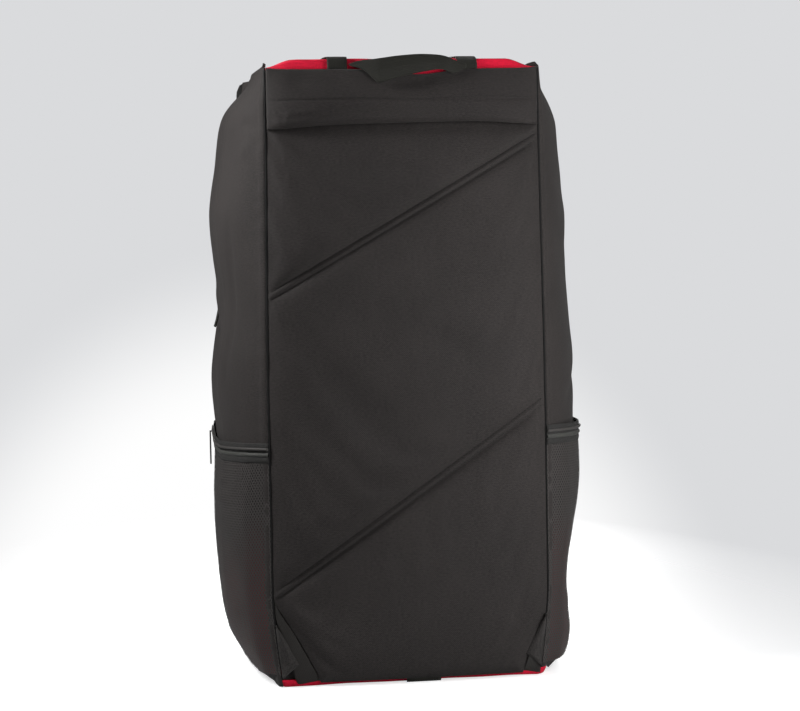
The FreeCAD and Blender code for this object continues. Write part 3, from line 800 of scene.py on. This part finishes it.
def cap(name, edge_z, rise, inner_rise, replaced):
    """Red end cloth: a rolled rim round the whole outline and a soft middle."""
    up = 1 if edge_z == seam_z else -1
    right_x, right_y = turn_outline(RIGHT, edge_z)
    left_x, left_y = turn_outline(LEFT, edge_z)
    loop_x = np.concatenate([right_x, left_x[::-1]])
    loop_y = np.concatenate([right_y, left_y[::-1]])
    inset = 13 * MM
    if up > 0:
        drawn = np.where(loop_x < 0, TOP_DRAWN[LEFT], TOP_DRAWN[RIGHT]) + 1.5 * MM
        inset = drawn * fading_forward(loop_y)
    loop_x = loop_x - np.sign(loop_x) * (1 * MM + inset * ease(loop_y, back_y + 1 * MM, back_y + 35 * MM))
    loop = resample(np.stack([loop_x, loop_y, 0 * loop_x], axis=1), 5 * MM)
    loop = np.concatenate([loop, resample(np.array([loop[-1], loop[0]]), 5 * MM)[1:-1]])
    centre = loop.mean(axis=0)
    rings = []
    for t in np.linspace(0, 1, 40):
        angle = min(1.0, t / RIM_SHARE) * RIM_TURN
        inner = max(0.0, (t - RIM_SHARE) / (1 - RIM_SHARE))
        scale = (1 + 0.012 * math.sin(angle) - 0.02 * (1 - math.cos(angle))) * (1 - inner)
        lift = rise * (1 - math.cos(angle)) / (1 - math.cos(RIM_TURN))
        lift += (inner_rise - rise) * math.sin(math.pi / 2 * min(1, 1.4 * inner))
        ring = centre + (loop - centre) * scale
        if up > 0:
            x, y = ring[:, 0], ring[:, 1]
            half = np.where(x > 0, np.interp(y, right_y, right_x), -np.interp(y, left_y, left_x))
            lift = lift * (0.2 + 0.8 * ease(half - np.abs(x), 6 * MM, 42 * MM))
            lift = lift - (seam_dip(x) + 3 * MM) * (y < back_y + 20 * MM) * max(0.0, 1 - 2 * t)
        ring[:, 2] = edge_z + up * lift
        rings.append(ring)
    grid = np.array(rings)
    grid = np.concatenate([grid, grid[:, :1]], axis=1)
    soft = lumps(grid, 0.06, 11) * 1.4 * MM
    soft[:, -1] = soft[:, 0]
    soft = soft * np.clip(np.linspace(0, 3, len(grid)), 0, 1)[:, None]
    grid[:, :, 2] += up * soft
    grid[:, :, 1] += soft * 0.5
    piece = surface(name, grid, RED, 1.5 * MM, flip=up < 0)
    attach(piece, "accent_cloth", "bag", replaced)


def piping(sign):
    """Cord along a back seam, wandering a little as sewn cloth does; its near-black colour also paints the
    shadow in the seam's groove.
    """
    path = []
    for z in np.arange(12 * MM, seam_z - 1 * MM, 3 * MM):
        x = seam_half(z) - 3 * MM * (1 - min(1.0, z / 0.05))
        wander = 0.5 * MM * noise.noise(Vector((sign * 3.0, 0, z / 0.04)))
        path.append((sign * (x + wander), back_y + 0.6 * MM, z))
    name = SIDE_NAME[sign]
    cord = tubes(f"piping_cord_{name}", [path], 1.5 * MM, PIPING_WITH_GROOVE_SHADE, 10)
    attach(cord, "binding", "bag", f"piping_{name}")


# ---- side pockets --------------------------------------------------------------------------
MOUTH = 289 * MM                # height of the pockets' mouths before they are set to each side


def pocket_end(sign):
    """How far along the turn outline the pocket reaches, as a column of the side grid."""
    xs, ys = turn_outline(sign, 0.2)
    return int(np.argmax(ys > pocket_front - 2 * MM))


def pocket_top(sign, grid_y):
    """Height of the mouth: level at the back seam, a little lower further out."""
    seam = 0.288 if sign == LEFT else 0.300
    return seam - 3 * MM * ease(grid_y, back_y, -0.08) + (299 * MM - seam) * ease(grid_y, -0.02, 0.062)


POCKET_SWELL = {LEFT: 9 * MM, RIGHT: 11 * MM}
POCKET_FOLDS = {LEFT: [((-0.12, 0.262), (0.05, 0.250), 0.006, 1.8), ((-0.13, 0.238), (0.02, 0.222), 0.006, 1.6),
                       ((-0.15, 0.10), (-0.02, 0.05), 0.010, 2.0)],
                RIGHT: [((-0.15, 0.10), (-0.02, 0.05), 0.010, 2.0)]}


def pocket_grid(sign, rows=110, low=16 * MM):
    """The mesh: swelling off the side panel, drawn in at the foot and at the mouth."""
    grid = side_surface(sign, low + (MOUTH - low) * np.linspace(0, 1, rows))[:, :pocket_end(sign)]
    y, z = grid[:, :, 1], grid[:, :, 2]
    t = np.linspace(0, 1, rows)[:, None]
    edge = ease(y, back_y - 1 * MM, back_y + 0.028) * (1 - ease(y, pocket_front - 0.03, pocket_front))
    swell = POCKET_SWELL[sign] * (0.30 + 0.70 * np.sin(math.pi * np.clip(0.04 + 0.93 * t, 0, 1)) ** 0.6)
    swell = (swell + 1.2 * MM * lumps(grid, 0.07, 20 + sign) + 0.6 * MM * lumps(grid, 0.03, 22)) * edge
    swell = swell + folds(y, z, POCKET_FOLDS[sign]) + 1.2 * MM
    grid = grid + outward(grid, sign) * swell[:, :, None]
    grid[:, :, 2] += (t ** 2) * (pocket_top(sign, y) - MOUTH)
    return grid


def mesh_pocket(sign):
    """Mesh and the dark sheet behind it, which paints the shade inside the pocket. Gives the path of the mouth
    and the way out from it.
    """
    name = SIDE_NAME[sign]
    grid = pocket_grid(sign)
    normal = outward(grid, sign)
    piece = surface(f"mesh_pocket_cloth_{name}", grid, MESH, flip=sign == LEFT)
    attach(piece, "mesh", "bag", f"mesh_pocket_{name}")
    # The dark sheet behind the mesh paints the shade inside the pocket.
    backing = surface(f"pocket_shade_backing_{name}", grid - normal * 1.3 * MM, PAINTED_SHADE_BACKING, 0.5 * MM, flip=sign == LEFT)
    attach(backing, "body_cloth", "bag")
    return grid[-1], normal[-1]


def pocket_zip(sign, rim, normal, rows=9):
    """Bands along the pocket's mouth, each between two heights over it, and a welt on top."""
    name = SIDE_NAME[sign]
    for part, low, high, out, hump, thickness, material, replaced in (
            ("pocket_tape_low", -3, 4.5, 0.6, 0.8, 0.8, TAPE, ()),
            ("pocket_coil", 4.2, 10.2, 0.4, 2.2, 0.0, COIL, (f"pocket_zip_{name}",)),
            ("pocket_tape_high", 10, 22, 0.8, 0.8, 0.8, TAPE, ())):
        layers = []
        for t in np.linspace(0, 1, rows):
            layer = rim + normal * (out + hump * math.sin(math.pi * t)) * MM
            layer[:, 2] = rim[:, 2] + (low + (high - low) * t) * MM
            layers.append(layer)
        strip = surface(f"{part}_{name}", np.array(layers), material, thickness * MM, flip=sign == LEFT)
        attach(strip, "zip_tape", "bag", *replaced)
    path = rim + normal * 2.2 * MM + np.array([0, 0, 14.5 * MM])
    attach(tubes(f"pocket_welt_{name}", [path], 1.7 * MM, BINDING), "binding", "bag")


# ---- top handle and webbings ---------------------------------------------------------------
def curve_through(points, step=2 * MM):
    """A smooth path through a few points, at an even step."""
    points = np.array(points, float)
    at = steps_along(points, 0)
    slopes = np.gradient(points, at, axis=0)
    fine = []
    for k in range(len(points) - 1):
        length = at[k + 1] - at[k]
        for s in np.linspace(0, 1, 24, endpoint=False):
            h = [2 * s**3 - 3 * s**2 + 1, s**3 - 2 * s**2 + s, -2 * s**3 + 3 * s**2, s**3 - s**2]
            fine.append(h[0] * points[k] + h[1] * length * slopes[k]
                        + h[2] * points[k + 1] + h[3] * length * slopes[k + 1])
    fine.append(points[-1])
    return resample(np.array(fine), step)


def band_between(name, one_edge, other_edge, thickness, material):
    """Webbing whose two edges are given, for pieces that twist or taper."""
    one = curve_through(one_edge)
    other = curve_through(other_edge)
    at = np.linspace(0, 1, len(one))
    along = np.linspace(0, 1, len(other))
    other = np.stack([np.interp(at, along, other[:, k]) for k in range(3)], axis=1)
    width = np.linalg.norm(one - other, axis=1)
    return ribbon(name, (one + other) / 2, one - other, width, thickness, material, columns=13)


def top_handle():
    """Grab handle of webbing: folded flat at its left end, and twisted as it falls over the band."""
    low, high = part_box("top_handle")
    front, hinge = low.y, high.y
    top_edge = [(-0.068, hinge - 3 * MM, 0.7800), (-0.055, hinge - 5 * MM, 0.7835),
                (-0.036, front + 5 * MM, 0.7855), (-0.004, front + 4 * MM, 0.7895),
                (0.027, front + 4 * MM, 0.7910), (0.052, front + 5 * MM, 0.7885),
                (0.068, hinge - 5 * MM, 0.7830), (0.080, hinge - 2 * MM, 0.7790)]
    low_edge = [(-0.066, hinge - 4 * MM, 0.7775), (-0.053, hinge - 8 * MM, 0.7735),
                (-0.034, front + 2 * MM, 0.7570), (-0.0325, front + 1.5 * MM, 0.7560),
                (-0.030, front + 1.5 * MM, 0.7563), (-0.004, front + 1 * MM, 0.7630),
                (0.024, front + 1.5 * MM, 0.7690), (0.050, front + 3 * MM, 0.7715),
                (0.062, hinge - 7 * MM, 0.7675), (0.080, hinge - 3 * MM, 0.7745)]
    piece = band_between("top_handle_webbing", top_edge, low_edge, 2.4 * MM, WEBBING)
    attach(piece, "webbing", "top_handle", "top_handle")


def front_to_back(name, replaced, x, points, thickness):
    """Flat webbing that runs across an end of the bag at one x, through points given as (y, z)."""
    low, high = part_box(replaced)
    path = curve_through([(x, y, z) for y, z in points])
    attach(ribbon(name, path, (1, 0, 0), high.x - low.x, thickness, WEBBING), "webbing", "bag", replaced)


def end_webbings():
    """Two webbings over the top, the right one pulled down at the back, and one under the bottom."""
    for sign, drawn in ((LEFT, 0), (RIGHT, 3.5 * MM)):
        name = f"top_webbing_{SIDE_NAME[sign]}"
        low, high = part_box(name)
        points = [(back_y - 2.5 * MM, 0.768), (back_y - 4 * MM, 0.778 - drawn / 2),
                  (back_y - 1 * MM, 0.7875 - drawn), (back_y + 9 * MM, 0.7895 - drawn / 4),
                  (back_y + 0.03, 0.7910), (0.0, 0.7920), (front_y - 0.03, 0.7905), (front_y - 1 * MM, 0.786)]
        strap = f"top_webbing_strap_{SIDE_NAME[sign]}"
        front_to_back(strap, name, (low.x + high.x) / 2, points, 1.8 * MM)
    points = [(back_y - 3.5 * MM, 10 * MM), (back_y - 4.6 * MM, 5 * MM), (back_y - 2 * MM, 1.2 * MM),
              (back_y + 0.04, 0.9 * MM), (front_y - 0.04, 0.9 * MM), (front_y + 2 * MM, 1.2 * MM),
              (front_y + 4 * MM, 5 * MM), (front_y + 3 * MM, 10 * MM)]
    front_to_back("bottom_webbing_strap", "bottom_webbing", 13.5 * MM, points, 1.6 * MM)


# ---- lower corners -------------------------------------------------------------------------
def corner_cloth(sign):
    """Cloth behind the cut corner, reaching in under the padded back."""
    rows, columns = 40, 30
    grid = np.zeros((rows, columns, 3))
    heights = np.linspace(4 * MM, 0.14, rows)
    for i, z in enumerate(heights):
        xs = np.linspace(0.085, seam_half(z) - 0.5 * MM, columns)
        depth = back_y + (1.2 + 2.3 * ease(z, 0.02, 0.05)) * MM + 2 * MM * bump(xs, 0.150, 0.015)
        grid[i] = np.stack([sign * xs, depth, np.full(columns, z)], axis=1)
    grid[:, :, 1] += 1.4 * MM * lumps(grid, 0.022, 31)
    name = SIDE_NAME[sign]
    piece = surface(f"corner_cloth_{name}", grid, BLACK, 1.0 * MM, flip=sign == LEFT)
    attach(piece, "body_cloth", "bag", f"corner_gusset_{name}")


def corner_webbing(sign):
    """Webbing out of the strap pocket, along the cut edge, down into the bottom seam."""
    name = SIDE_NAME[sign]
    foot, top = CUT[sign]
    inner, outer = [], []
    for share, z, proud in ((1.25, top + 0.03, -6), (1.0, top - 0.002, -0.5), (0.62, top * 0.62, 3.5),
                            (0.30, top * 0.33, 4.2), (0.0, 0.011, 1.5), (0.0, 0.006, -1.5)):
        edge = abs(float(panel_edge(sign, max(z, PANEL_FOOT))))
        width = 7 * MM + 20 * MM * (1 - min(1.0, share))
        inner.append((sign * (edge - 1 * MM), back_y - proud * MM, z))
        far = min(edge + width, seam_half(z) - 1.5 * MM)
        outer.append((sign * far, back_y - proud * MM + 1.5 * MM, z - 4 * MM))
    strap = band_between(f"lower_webbing_{name}", inner, outer, 1.8 * MM, CORNER)
    attach(strap, "webbing", "bag", f"lower_strap_{name}")


def corner_wing(sign):
    """Triangle of cloth out of the side seam, over the webbing's lower end."""
    name = SIDE_NAME[sign]
    rows, columns = 40, 14
    wing = np.zeros((rows, columns, 3))
    for i, t in enumerate(np.linspace(0, 1, rows)):
        z = 0.013 + 0.067 * t
        outer = seam_half(z) - 0.5 * MM
        reach = 22 * MM * (t / 0.25 if t < 0.25 else ((1 - t) / 0.75) ** 0.9)
        xs = outer - (reach + 0.8 * MM) * np.linspace(1, 0, columns)
        lift = 2.5 * MM * np.sin(np.linspace(0, math.pi, columns)) + 2.2 * MM * np.linspace(1, 0, columns)
        wing[i] = np.stack([sign * xs, back_y - 1.0 * MM - 1.6 * lift, np.full(columns, z)], axis=1)
    wing[:, :, 1] += 0.8 * MM * lumps(wing, 0.015, 33)
    tab = surface(f"wing_cloth_{name}", wing, SEAM, 1.6 * MM, flip=sign == LEFT, mapped=False)
    attach(tab, "body_cloth", "bag", f"wing_tab_{name}")


# ---- front ---------------------------------------------------------------------------------
def front_cloths(columns=70):
    """The lid and the fixed strip under it, both soft and slightly full."""
    share = np.linspace(1, -1, columns)
    lid = np.zeros((150, columns, 3))
    lid[:, :, 0] = share * (np.interp(0.4, *PROFILES[2]) - 7 * MM)
    lid[:, :, 2] = np.linspace(LID_LOW.z + 1 * MM, LID_HIGH.z, len(lid))[:, None]
    for t, row in zip(np.linspace(0, 1, len(lid)), lid):
        row[:, 1] = front_y + 3.5 * MM * (1 - share ** 6) * max(0.0, math.sin(math.pi * t)) ** 0.35
    soft = 1.6 * MM * lumps(lid, 0.12, 41) + 0.6 * MM * lumps(lid, 0.04, 42)
    lid[:, :, 1] += soft * (1 - share ** 8)[None, :]
    attach(surface("front_lid_cloth", lid, BLACK, 3.6 * MM), "body_cloth", "lid", "front_lid")

    kick = np.zeros((16, columns, 3))
    heights = np.linspace(7 * MM, LID_LOW.z - 0.5 * MM, len(kick))[:, None]
    kick[:, :, 0] = share * (np.interp(heights, *PROFILES[2]) - 3 * MM)
    kick[:, :, 1] = front_y + 2 * MM * np.sin(math.pi * np.linspace(0, 1, len(kick)))[:, None]
    kick[:, :, 2] = heights
    kick[:, :, 1] += 0.8 * MM * lumps(kick, 0.05, 43)
    attach(surface("kick_cloth", kick, BLACK, 3.0 * MM), "body_cloth", "bag", "kick_panel")


def keep_cad(names, material):
    """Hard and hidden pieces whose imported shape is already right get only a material."""
    for name in names:
        finish_object(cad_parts[name], material, smooth=False)


# ---- hardware ------------------------------------------------------------------------------


def main_zips(turn=12 * MM, gap=3.6 * MM):
    """Both halves of the main zip: a tape up one side, over the top and down the other, and its coil."""
    low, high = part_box("main_zip_body_half")
    half = (high.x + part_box("main_zip_lid_half")[1].x) / 2
    y = low.y + 4.4 * MM
    for body, shift, foot, replaced in (("bag", gap, low.z, "main_zip_body_half"),
                                        ("lid", -gap, low.z + 6 * MM, "main_zip_lid_half")):
        x = half + shift
        top = high.z - 3 * MM + shift
        rising = [(-x, y, foot), (-x, y, 0.3), (-x, y, top - turn), (-x + turn * 0.3, y, top - turn * 0.3),
                  (-x + turn, y, top)]
        path = resample(rising + [(0, y, top)] + [(-px, py, pz) for px, py, pz in reversed(rising)], 4 * MM)
        across = np.cross(np.gradient(path, axis=0), np.array([0, 1.0, 0]))
        tape = ribbon(f"main_tape_{body}", path, across, 8 * MM, 1.4 * MM, TAPE)
        attach(tape, "zip_tape", body, replaced)
        inward = -np.sign(shift) * across / np.linalg.norm(across, axis=1)[:, None]
        coil_path = path + inward * 2.2 * MM + np.array([0, 0.9 * MM, 0])
        attach(tubes(f"main_coil_{body}", [coil_path], 1.2 * MM, COIL), "zip_tape", body)


def box_axes(name):
    """Corners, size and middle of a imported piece, and its long, wide and flat axes as numbers."""
    low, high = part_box(name)
    size = high - low
    long_axis = max(range(3), key=lambda k: size[k])
    flat_axis = min(range(3), key=lambda k: size[k])
    return low, high, size, (low + high) / 2, (long_axis, 3 - long_axis - flat_axis, flat_axis)


def zip_slider(name, face, around=28):
    """A cast slider with a waist, and its bridge, which is on the side that face gives."""
    low, high, size, middle, (long_axis, wide_axis, flat_axis) = box_axes(name)
    inner, outer = (low, high) if face > 0 else (high, low)
    depth = outer[flat_axis] - inner[flat_axis]
    vertices = []
    levels = [(0.05, 0.86), (0.18, 1.0), (0.52, 1.0), (0.66, 0.86)]
    for share, grow in levels:
        for side in (1, -1):
            for t in np.linspace(0, 1, around // 2)[::side]:
                waist = 0.17 * math.sin(math.pi * min(1, t * 1.25)) * (1 if t < 0.8 else 0.4)
                half = 0.5 - waist - 0.10 * ease(t, 0.8, 1)
                p = Vector(middle)
                p[long_axis] += (t - 0.5) * size[long_axis] * 0.98 * grow
                p[wide_axis] += side * half * size[wide_axis] * grow
                p[flat_axis] = inner[flat_axis] + depth * share
                vertices.append(p)
    piece = mesh_object(f"{name}_cast", vertices, ring_faces(len(levels), around), METAL)
    tidy_normals(piece)
    attach(piece, "zip_metal", name, name)
    bridge = []
    for t in np.linspace(0, 1, 13):
        p = Vector(middle)
        p[long_axis] += (t - 0.5) * size[long_axis] * 0.62
        p[flat_axis] = inner[flat_axis] + depth * (0.60 + 0.36 * max(0.0, math.sin(math.pi * t)) ** 0.6)
        bridge.append(p)
    attach(tubes(f"{name}_bridge", [bridge], 0.9 * MM, METAL), "zip_metal", name)


def rounded_end(t, drop):
    """Share of the width left at a distance t from an end, where the last 8% is rounded off."""
    if t > 0.08:
        return 1.0
    return math.sqrt(max(0.0, 1 - ((0.08 - t) / 0.08) ** 2)) * drop + 1 - drop


def zip_pull(name, material, stretch=1.0):
    """A flat tab with rounded ends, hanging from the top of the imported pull's place."""
    low, high, size, middle, (long_axis, wide_axis, flat_axis) = box_axes(name)
    outline = []
    for t in np.linspace(0, 1, 25):
        outline.append((t, (0.36 + 0.14 * ease(t, 0.1, 0.5)) * rounded_end(t, 0.8) * rounded_end(1 - t, 0.75)))
    vertices = []
    for depth in (-0.45, 0.45):
        for side in (1, -1):
            for t, width in outline[::side]:
                p = Vector(middle)
                p[long_axis] = high[long_axis] - t * size[long_axis] * stretch
                p[wide_axis] += side * width * size[wide_axis]
                p[flat_axis] += depth * size[flat_axis]
                vertices.append(p)
    piece = mesh_object(f"{name}_tab", vertices, ring_faces(2, 2 * len(outline)), material)
    tidy_normals(piece)
    edges = piece.modifiers.new("round edges", "BEVEL")
    edges.width = 0.35 * MM
    edges.segments = 2
    attach(piece, "zip_metal", name, name)


def carry_handle(sign):
    """Webbing handle on the front turn of one side, with a padded grip and its two sewn tabs."""
    handle = f"carry_handle_{SIDE_NAME[sign]}"
    low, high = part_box(handle)
    x = (low.x + high.x) / 2
    root = low.y + 1 * MM
    reach = high.y - 13 * MM
    arm = [(root, 13 * MM), (root + 0.30 * (reach - root), 14 * MM), (reach - 4 * MM, 26 * MM),
           (reach, 55 * MM)]
    path = [(x, y, low.z + rise) for y, rise in arm] + [(x, y, high.z - rise) for y, rise in reversed(arm)]
    path = curve_through(path)
    across = np.cross(np.gradient(path, axis=0), np.array([1.0, 0, 0]))
    strap = ribbon(f"carry_webbing_{SIDE_NAME[sign]}", path, across, 24 * MM, 2.4 * MM, WEBBING)
    attach(strap, "webbing", handle, handle)
    grid = []
    for t in np.linspace(-1, 1, 40):
        size = 1 - 0.25 * abs(t) ** 8 + 0.03 * math.sin(7 * t)
        for angle in np.linspace(0, 2 * math.pi, 23):
            grid.append((x + 3.6 * MM * size * math.sin(angle), reach + 13.5 * MM * size * math.cos(angle),
                         (low.z + high.z) / 2 + 34 * MM * t))
    grip = surface(f"carry_grip_{SIDE_NAME[sign]}", np.array(grid).reshape(40, 23, 3), STRAP, 0.8 * MM)
    tidy_normals(grip)
    attach(grip, "strap_padding", handle)
    tabs = f"carry_tabs_{SIDE_NAME[sign]}"
    low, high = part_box(tabs)
    for label, z in (("low", low.z + 13 * MM), ("high", high.z - 13 * MM)):
        path = curve_through([(x - sign * 2 * MM, low.y + 1 * MM, z), (x, low.y + 8 * MM, z), (x, high.y, z)])
        tab = ribbon(f"carry_tab_{label}_{SIDE_NAME[sign]}", path, (0, 0, 1), 25 * MM, 2.6 * MM, WEBBING)
        attach(tab, "webbing", "bag")
    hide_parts(tabs)


def strap_end():
    """Short end of webbing on the left side, sewn at its top and standing off the cloth at its foot."""
    heights = (0.472, 0.466, 0.458, 0.4495)
    stand_off = (0, 1 * MM, 2.2 * MM, 3.8 * MM)
    outline_x, outline_y = turn_outline(LEFT, heights[-1])
    near = outline_y[np.argmin(outline_x)] + 4 * MM
    edges = []
    for y in (near, near + 25 * MM):
        edge = []
        for z, off in zip(heights, stand_off):
            outline_x, outline_y = turn_outline(LEFT, z)
            edge.append((np.interp(y, outline_y, outline_x) - off, y, z))
        edges.append(edge)
    piece = band_between("strap_end_left", edges[0], edges[1], 2.6 * MM, WEBBING)
    attach(piece, "webbing", "bag")


# ---- hidden strap pocket -------------------------------------------------------------------
def inner_wall(rows=60, columns=50):
    """Lining cloth between the strap pocket and the main room of the bag."""
    low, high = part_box("back_wall")
    heights = np.linspace(low.z, high.z, rows)
    half = np.interp(heights, *PROFILES[1]) * 0.6 + np.interp(heights, *PROFILES[0]) * 0.4 - 8 * MM
    grid = np.zeros((rows, columns, 3))
    grid[:, :, 0] = np.minimum(high.x, half)[:, None] * np.linspace(-1, 1, columns)
    grid[:, :, 1] = low.y
    grid[:, :, 2] = heights[:, None]
    grid[:, :, 1] += 0.8 * MM * lumps(grid, 0.08, 51)
    attach(surface("inner_wall_cloth", grid, LINING, 2.5 * MM), "back_cloth", "bag", "back_wall")


def shoulder_pad(sign, rows=90, columns=18):
    """Stowed shoulder strap: padded, and narrower at its foot."""
    name = SIDE_NAME[sign]
    low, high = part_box(f"shoulder_strap_{name}")
    share = np.linspace(-1, 1, columns)
    zs = np.tile(np.linspace(low.z, high.z, rows)[:, None], (1, columns))
    xs = (low.x + high.x) / 2 + share * (high.x - low.x) / 2 * (0.55 + 0.45 * ease(zs, low.z, low.z + 0.10))
    full = 0.15 + 0.85 * (1 - np.abs(share) ** 4) + 0 * xs
    deep = ((high.y - low.y) / 2 - 0.4 * MM) * full
    front, back = (np.stack([xs, (low.y + high.y) / 2 + side * deep, zs], axis=2) for side in (-1, 1))
    pad = closed_pad(f"shoulder_pad_{name}", front, back, STRAP)
    attach(pad, "strap_padding", "bag", f"shoulder_strap_{name}")


# ---- camera, light and stage ---------------------------------------------------------------
def camera():
    """A little left of the back's middle and above it, with a long lens and a slight tilt."""
    azimuth, distance, height = math.radians(-7.94), 2.68625, 0.56483
    pan, aim, roll = 0.01598, 0.40524, math.radians(1.07)
    place = Vector((math.sin(azimuth) * distance, -math.cos(azimuth) * distance, height))
    target = Vector((pan * math.cos(azimuth), pan * math.sin(azimuth), aim))
    forward = (target - place).normalized()
    right = forward.cross(Vector((0, 0, 1))).normalized()
    up = right.cross(forward)
    tilted = right * math.cos(roll) - up * math.sin(roll)
    upright = right * math.sin(roll) + up * math.cos(roll)
    data = bpy.data.cameras.new("camera")
    data.sensor_width = 36
    data.lens = 89.93
    obj = bpy.data.objects.new("camera", data)
    bpy.context.scene.collection.objects.link(obj)
    obj.matrix_world = Matrix.Translation(place) @ Matrix((tilted, upright, -forward)).transposed().to_4x4()
    bpy.context.scene.camera = obj


def area_light(name, place, aim, width, height, power):
    data = bpy.data.lights.new(name, "AREA")
    data.shape = "RECTANGLE"
    data.size = width
    data.size_y = height
    data.energy = power
    obj = bpy.data.objects.new(name, data)
    bpy.context.scene.collection.objects.link(obj)
    obj.location = place
    obj.visible_camera = False
    obj.rotation_euler = (Vector(aim) - Vector(place)).to_track_quat("-Z", "Y").to_euler()


def floor():
    """White floor that the camera sees lit from within and that fades out away from the bag."""
    material, s = new_material("studio floor", (0.55, 0.553, 0.556), 0.5)
    reach = 3.5
    points = [[(-reach, -reach, 0), (reach, -reach, 0)], [(-reach, reach, 0), (reach, reach, 0)]]
    surface("floor", np.array(points), material, mapped=False)
    wide = s.node("VectorMath", {0: s.object_place(), 1: (1.7, 1.0, 1.0)}, operation="MULTIPLY").outputs[0]
    length = s.node("VectorMath", {0: wide}, operation="LENGTH").outputs["Value"]
    s.drive(s.ramp(length, 0.5, 1.5, 1.0, 0.0), "Alpha")
    s.shader.inputs["Emission Color"].default_value = (1, 1, 1, 1)
    s.drive(s.times(s.node("LightPath").outputs["Is Camera Ray"], 0.62), "Emission Strength")


def backdrop():
    """Grey wall with a white glow low down, seen by the camera only, and a faint even fill."""
    world = bpy.data.worlds.new("studio")
    bpy.context.scene.world = world
    world.use_nodes = True
    s = Shading(world)
    fill = s.tree.nodes["Background"]
    fill.inputs[0].default_value = (1, 1, 1, 1)
    fill.inputs[1].default_value = 0.04
    place = s.node("TexCoord").outputs["Generated"]
    level = s.node("SeparateXYZ", {0: place}).outputs[2]
    aside = s.node("VectorMath", {0: place, 1: (0.990, -0.138, 0)}, operation="DOT_PRODUCT").outputs["Value"]
    wide = s.calc("MULTIPLY_ADD", aside, 5.0, 0.22)
    high = s.calc("MULTIPLY_ADD", level, 4.62, 1.12)
    reach = s.calc("SQRT", s.plus(s.times(wide, wide), s.times(high, high)))
    glow = s.ramp(reach, 1.14, 0.74, 0.0, 1.0, interpolation_type="SMOOTHSTEP")
    seen = s.node("Background", {0: s.blend(glow, (0.701, 0.708, 0.723), (1, 1, 1))})
    path = s.node("LightPath").outputs
    straight = s.calc("MAXIMUM", path["Is Camera Ray"], path["Is Transmission Ray"])
    mix = s.node("MixShader", {0: straight, 1: fill.outputs[0], 2: seen.outputs[0]})
    s.link(mix.outputs[0], s.tree.nodes["World Output"].inputs[0])


def lamps():
    area_light("near softbox", (0.32, -0.60, 0.52), (0.14, -0.17, 0.50), 0.25, 0.8, 4.0)
    area_light("right softbox", (0.62, -0.55, 0.44), (0.10, -0.17, 0.42), 0.25, 0.9, 3.2)
    area_light("left softbox", (-0.95, -0.30, 1.05), (-0.19, -0.10, 0.68), 0.25, 0.5, 20)
    area_light("top light", (0.2, 0.2, 2.4), (0, 0, 0.4), 1.6, 1.6, 10)
    area_light("back light", (0.25, 1.6, 0.55), (0, 0.17, 0.40), 0.8, 0.9, 26)


# ---- build ---------------------------------------------------------------------------------
for sign in (LEFT, RIGHT):
    shell_side(sign)
back_quilt()
upper_band()
cap("top_cloth", seam_z, 12.5 * MM, 13.5 * MM, "top_panel")
cap("bottom_cloth", rim_z, 9.4 * MM, 8.6 * MM, "bottom_panel")
for sign in (LEFT, RIGHT):
    piping(sign)
for sign in (LEFT, RIGHT):
    mouth, out = mesh_pocket(sign)
    pocket_zip(sign, mouth, out)
    carry_handle(sign)
strap_end()
top_handle()
end_webbings()
for sign in (LEFT, RIGHT):
    corner_cloth(sign)
    corner_webbing(sign)
    corner_wing(sign)
front_cloths()
main_zips()
for sign in (LEFT, RIGHT):
    name = SIDE_NAME[sign]
    zip_slider(f"main_slider_{name}", 1)
    zip_pull(f"main_pull_{name}", METAL)
    zip_slider(f"pocket_slider_{name}", sign)
    zip_pull(f"pocket_pull_{name}", PULL_TAPE, 1.4 if sign == LEFT else 1.0)
inner_wall()
for sign in (LEFT, RIGHT):
    shoulder_pad(sign)
keep_cad(["ladder_lock_left", "ladder_lock_right"], PLASTIC)
keep_cad(["base_board"], BOARD)
camera()
floor()
backdrop()
lamps()
bpy.context.scene.view_settings.view_transform = "Standard"
